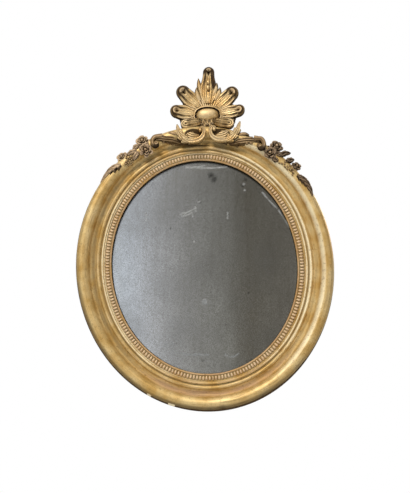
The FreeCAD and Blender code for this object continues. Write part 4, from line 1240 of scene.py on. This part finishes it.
def makeSilvering():
    look = mirrorLook
    low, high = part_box("mirror_silvering")
    shape = newShape()
    rings, spokes = look["rings"], look["spokes"]
    points, dark, pale, rim = [], [], [], []
    for i in range(rings + 1):
        share = 0.01 + 0.99 * i / rings
        for k in range(spokes):
            station = 360 * k / spokes
            edge = ovalPoint(station, 5.0, 0) * share
            points.append(Vector((edge.x, low.y + 0.03 * mm, edge.z)))  # just behind the glass
            speck, scratch = silverMarks(edge.x / mm, edge.z / mm, share)
            turn = (station + 180) % 360 - 180
            shaded = 1 - smoothStep(abs(turn + 12), 48, 85)  # painted shadow of the lip, round the top
            dark.append(speck)
            pale.append(scratch)
            rim.append(shaded * smoothStep(share, 0.957, 0.975))
    count = len(points)
    points += [Vector((p.x, high.y, p.z)) for p in points[rings * spokes:]]
    faces = gridFaces(rings + 2, spokes, ring=True)
    faces += [tuple(range(spokes)), tuple(range(count, count + spokes))]
    blank = [0.0] * spokes
    addPart(shape, points, faces, groove=dark + blank, worn=pale + blank, bare=rim + blank)
    finishShape(shape, "silvering_foxed", silvering, ["mirror_silvering"])
    print("silvering foxed")


makeSilvering()


# plate glass, softwood, paper and iron: what the solids carry

woodLook = {
    "ochre-washed pine": {"light": "#6e5233", "dark": "#33241a", "grain": 5.0, "roughness": 0.75},
    "bare pine boards": {"light": "#a3805a", "dark": "#6b4a2d", "grain": 7.0, "roughness": 0.8},
    "split beech": {"light": "#b08f64", "dark": "#7a5a38", "grain": 3.0, "roughness": 0.8},
}


def sawnWood(name):  # long pale and dark grain, dull, under a film of dust
    look = woodLook[name]
    material, tree = newMaterial(name)
    place = addNode(tree, "TexCoord", out="Object")
    fine = 1000 / look["grain"]
    stretched = addNode(tree, "Mapping", {"Vector": place, "Scale": (fine, fine, fine / 25)})
    grain = addNode(tree, "TexNoise", {"Vector": stretched, "Scale": 1.0, "Detail": 6.0, "Distortion": 0.6})
    dust = addNode(tree, "TexNoise", {"Vector": place, "Scale": 1000 / 45, "Detail": 5.0})
    rings = addNode(tree, "MapRange", {0: grain, 1: 0.35, 2: 0.68})
    colour = {0: rings, 6: linear(look["light"]), 7: linear(look["dark"])}
    colour = addNode(tree, "Mix", colour, 2, data_type="RGBA")
    dusty = addNode(tree, "MapRange", {0: dust, 1: 0.5, 2: 0.75, 4: 0.35})
    colour = addNode(tree, "Mix", {0: dusty, 6: colour, 7: linear("#8f7a5e")}, 2, data_type="RGBA")
    bump = addNode(tree, "Bump", {"Strength": 0.4, "Distance": 0.4 * mm, "Height": grain})
    surface = {"Base Color": colour, "Roughness": look["roughness"], "Normal": bump}
    addNode(tree, "OutputMaterial", {"Surface": addNode(tree, "BsdfPrincipled", surface)})
    return material


def plateGlass():  # clear, with a faint gloss of its own
    material, tree = newMaterial("old plate glass")
    clear = addNode(tree, "BsdfTransparent", {"Color": linear("#f7f8f8")})
    gloss = addNode(tree, "BsdfGlossy", {"Color": linear("#ffffff"), "Roughness": 0.03})
    fresnel = addNode(tree, "Fresnel", {"IOR": 1.5})
    blend = addNode(tree, "MixShader", {0: fresnel, 1: clear, 2: gloss})
    addNode(tree, "OutputMaterial", {"Surface": blend})
    return material


def wroughtIron():  # hammered and darkened, with rust in the pits
    material, tree = newMaterial("wrought iron")
    place = addNode(tree, "TexCoord", out="Object")
    pits = addNode(tree, "TexNoise", {"Vector": place, "Scale": 1000 / 4, "Detail": 5.0})
    rust = addNode(tree, "MapRange", {0: pits, 1: 0.5, 2: 0.68})
    colour = {0: rust, 6: linear("#3b3734"), 7: linear("#5d3a24")}
    colour = addNode(tree, "Mix", colour, 2, data_type="RGBA")
    rough = addNode(tree, "MapRange", {0: pits, 1: 0.3, 2: 0.7, 3: 0.4, 4: 0.75})
    bump = addNode(tree, "Bump", {"Strength": 0.5, "Distance": 0.2 * mm, "Height": pits})
    surface = {"Base Color": colour, "Metallic": 0.85, "Roughness": rough, "Normal": bump}
    addNode(tree, "OutputMaterial", {"Surface": addNode(tree, "BsdfPrincipled", surface)})
    return material


def ragPaper():  # matt brown, mottled by its fibres
    material, tree = newMaterial("brown rag paper")
    place = addNode(tree, "TexCoord", out="Object")
    fibre = addNode(tree, "TexNoise", {"Vector": place, "Scale": 1000 / 6, "Detail": 6.0})
    mottled = addNode(tree, "MapRange", {0: fibre, 1: 0.35, 2: 0.7})
    colour = {0: mottled, 6: linear("#8a7350"), 7: linear("#6a5638")}
    colour = addNode(tree, "Mix", colour, 2, data_type="RGBA")
    surface = addNode(tree, "BsdfPrincipled", {"Base Color": colour, "Roughness": 0.9})
    addNode(tree, "OutputMaterial", {"Surface": surface})
    return material


slotMaterials = {
    "gilding": mouldingGilding,
    "gilt_ornament": crestGilding,
    "frame_wood": sawnWood("ochre-washed pine"),
    "board_wood": sawnWood("bare pine boards"),
    "peg_wood": sawnWood("split beech"),
    "mirror_glass": plateGlass(),
    "silvering": silvering,
    "backing_paper": ragPaper(),
    "iron": wroughtIron(),
}
slotOf = {entry["node"]: entry["material_slot"] for entry in frame["record"]["subparts"]}
for node, item in frame["nodes"].items():
    item.data.materials.clear()
    item.data.materials.append(slotMaterials[slotOf[node]])
print("materials on", len(frame["nodes"]), "solids")


# studio: pale floor, white surround, soft lamps, and a toned wall behind the camera for the mirror to show

stageLook = {
    "floorDrop": 0.50,  # m below the frame
    "floorRadius": 1.0,
    "ambient": 0.30,
    "lamps": [((-0.75, -2.0, 1.95), 1.2, 62.0, "#fff6e8"), ((1.7, -1.9, 0.1), 1.4, 10.0, "#eef2ff"),
              ((1.9, 1.5, 1.2), 1.2, 24.0, "#fff8f0")],
    "wallDistance": 3.2,
    "wallTones": [(-2.6, "#b9bfc6"), (-0.95, "#f2f8ff"), (-0.78, "#e6ecf6"), (-0.64, "#d3d4d8"),
                  (-0.48, "#c0bfbf"), (-0.32, "#aaa8a5"), (-0.16, "#999792"), (0.05, "#94928b"),
                  (0.09, "#77736a"), (0.2, "#6b6457"), (0.27, "#7a766d"), (0.47, "#757067"),
                  (0.6, "#827d73"), (2.6, "#6a645b")],  # m across, and the tone there
    # m up, and the strength there
    "wallLevels": [(-2.0, 1.12), (-0.3, 1.12), (0.6, 1.0), (1.3, 0.82), (3.5, 0.82)],
    "sideTone": "#8c8880",
    "sideDepth": 0.8,  # m behind the mirror
}


def addStagePiece(name, points, faces, material):
    mesh = bpy.data.meshes.new(name)
    mesh.from_pydata(points, [], faces)
    mesh.materials.append(material)
    piece = bpy.data.objects.new(name, mesh)
    scene.collection.objects.link(piece)
    return piece


def makeFloor():
    look = stageLook
    material, tree = newMaterial("pale painted floor")
    place = addNode(tree, "TexCoord", out="Object")
    scuffs = addNode(tree, "TexNoise", {"Vector": place, "Scale": 8.0, "Detail": 4.0})
    rough = addNode(tree, "MapRange", {0: scuffs, 3: 0.8, 4: 0.95})
    surface = addNode(tree, "BsdfPrincipled", {"Base Color": linear("#f4f4f2"), "Roughness": rough})
    addNode(tree, "OutputMaterial", {"Surface": surface})
    size, level = look["floorRadius"], cadLow.z - look["floorDrop"]
    turns = [2 * math.pi * k / 96 for k in range(96)]
    rim = [Vector((size * math.cos(turn), size * math.sin(turn), level)) for turn in turns]
    addStagePiece("floor", rim, [tuple(range(96))], material)


def makeWall():
    look = stageLook
    material, tree = newMaterial("toned studio wall")
    tone = addNode(tree, "Attribute", out="Color", attribute_name="tone")
    glow = addNode(tree, "Emission", {"Color": tone, "Strength": 1.0})
    addNode(tree, "OutputMaterial", {"Surface": glow})
    plan = [(x, -look["wallDistance"], hexColour) for x, hexColour in look["wallTones"]]
    ends = [(x, look["sideDepth"], look["sideTone"]) for x in (plan[0][0], plan[-1][0])]
    plan = ends[:1] + plan + ends[1:]
    levels = look["wallLevels"]
    points = [Vector((x, y, z)) for x, y, _ in plan for z, _ in levels]
    wall = addStagePiece("toned_wall", points, gridFaces(len(plan), len(levels)), material)
    tones = wall.data.color_attributes.new("tone", "FLOAT_COLOR", "POINT")
    for i, (_, _, hexColour) in enumerate(plan):
        for j, (_, strength) in enumerate(levels):
            tones.data[i * len(levels) + j].color = [strength * c for c in linear(hexColour)]
    wall.visible_camera = False
    wall.visible_diffuse = False
    wall.visible_shadow = False


def makeLight():
    look = stageLook
    scene.world = bpy.data.worlds.new("white surround")
    scene.world.use_nodes = True
    tree = scene.world.node_tree
    tree.nodes.clear()
    seen = addNode(tree, "LightPath", out="Is Camera Ray")
    for kind in ("Is Glossy Ray", "Is Transmission Ray"):
        other = addNode(tree, "LightPath", out=kind)
        seen = addNode(tree, "Math", {0: seen, 1: other}, operation="MAXIMUM")
    soft = addNode(tree, "Background", {"Color": linear("#f4f4f2"), "Strength": look["ambient"]})
    white = addNode(tree, "Background", {"Color": linear("#ffffff"), "Strength": 1.0})
    addNode(tree, "OutputWorld", {"Surface": addNode(tree, "MixShader", {0: seen, 1: soft, 2: white})})
    for index, (place, size, power, tint) in enumerate(look["lamps"]):
        data = bpy.data.lights.new("softbox" + str(index), "AREA")
        data.shape = "DISK"
        data.size = size
        data.energy = power
        data.color = linear(tint)[:3]
        lamp = bpy.data.objects.new("softbox" + str(index), data)
        lamp.location = place
        lamp.rotation_euler = (-Vector(place)).to_track_quat("-Z", "Y").to_euler()
        scene.collection.objects.link(lamp)


cameraLook = {
    "distance": 1.2,  # m from the middle of the oval
    "below": 8.84,  # degrees
    "right": 3.04,
    "focal": 553.0,  # pixels
    "middle": (204.3, 266.0),  # pixel of the middle of the oval
    "image": (410, 493),
}


def makeCamera():
    look = cameraLook
    below, right = math.radians(look["below"]), math.radians(look["right"])
    away = Vector((math.sin(right) * math.cos(below), -math.cos(right) * math.cos(below), -math.sin(below)))
    width, height = look["image"]
    data = bpy.data.cameras.new("camera")
    data.sensor_fit = "VERTICAL"
    data.sensor_height = 36.0
    data.lens = look["focal"] / height * data.sensor_height
    data.shift_x = (width / 2 - look["middle"][0]) / height
    data.shift_y = (look["middle"][1] - height / 2) / height
    camera = bpy.data.objects.new("camera", data)
    camera.location = away * look["distance"]
    camera.rotation_euler = (-away).to_track_quat("-Z", "Y").to_euler()
    scene.collection.objects.link(camera)
    scene.camera = camera


makeFloor()
makeWall()
makeLight()
makeCamera()
scene.view_settings.view_transform = "Standard"
print("studio lit")
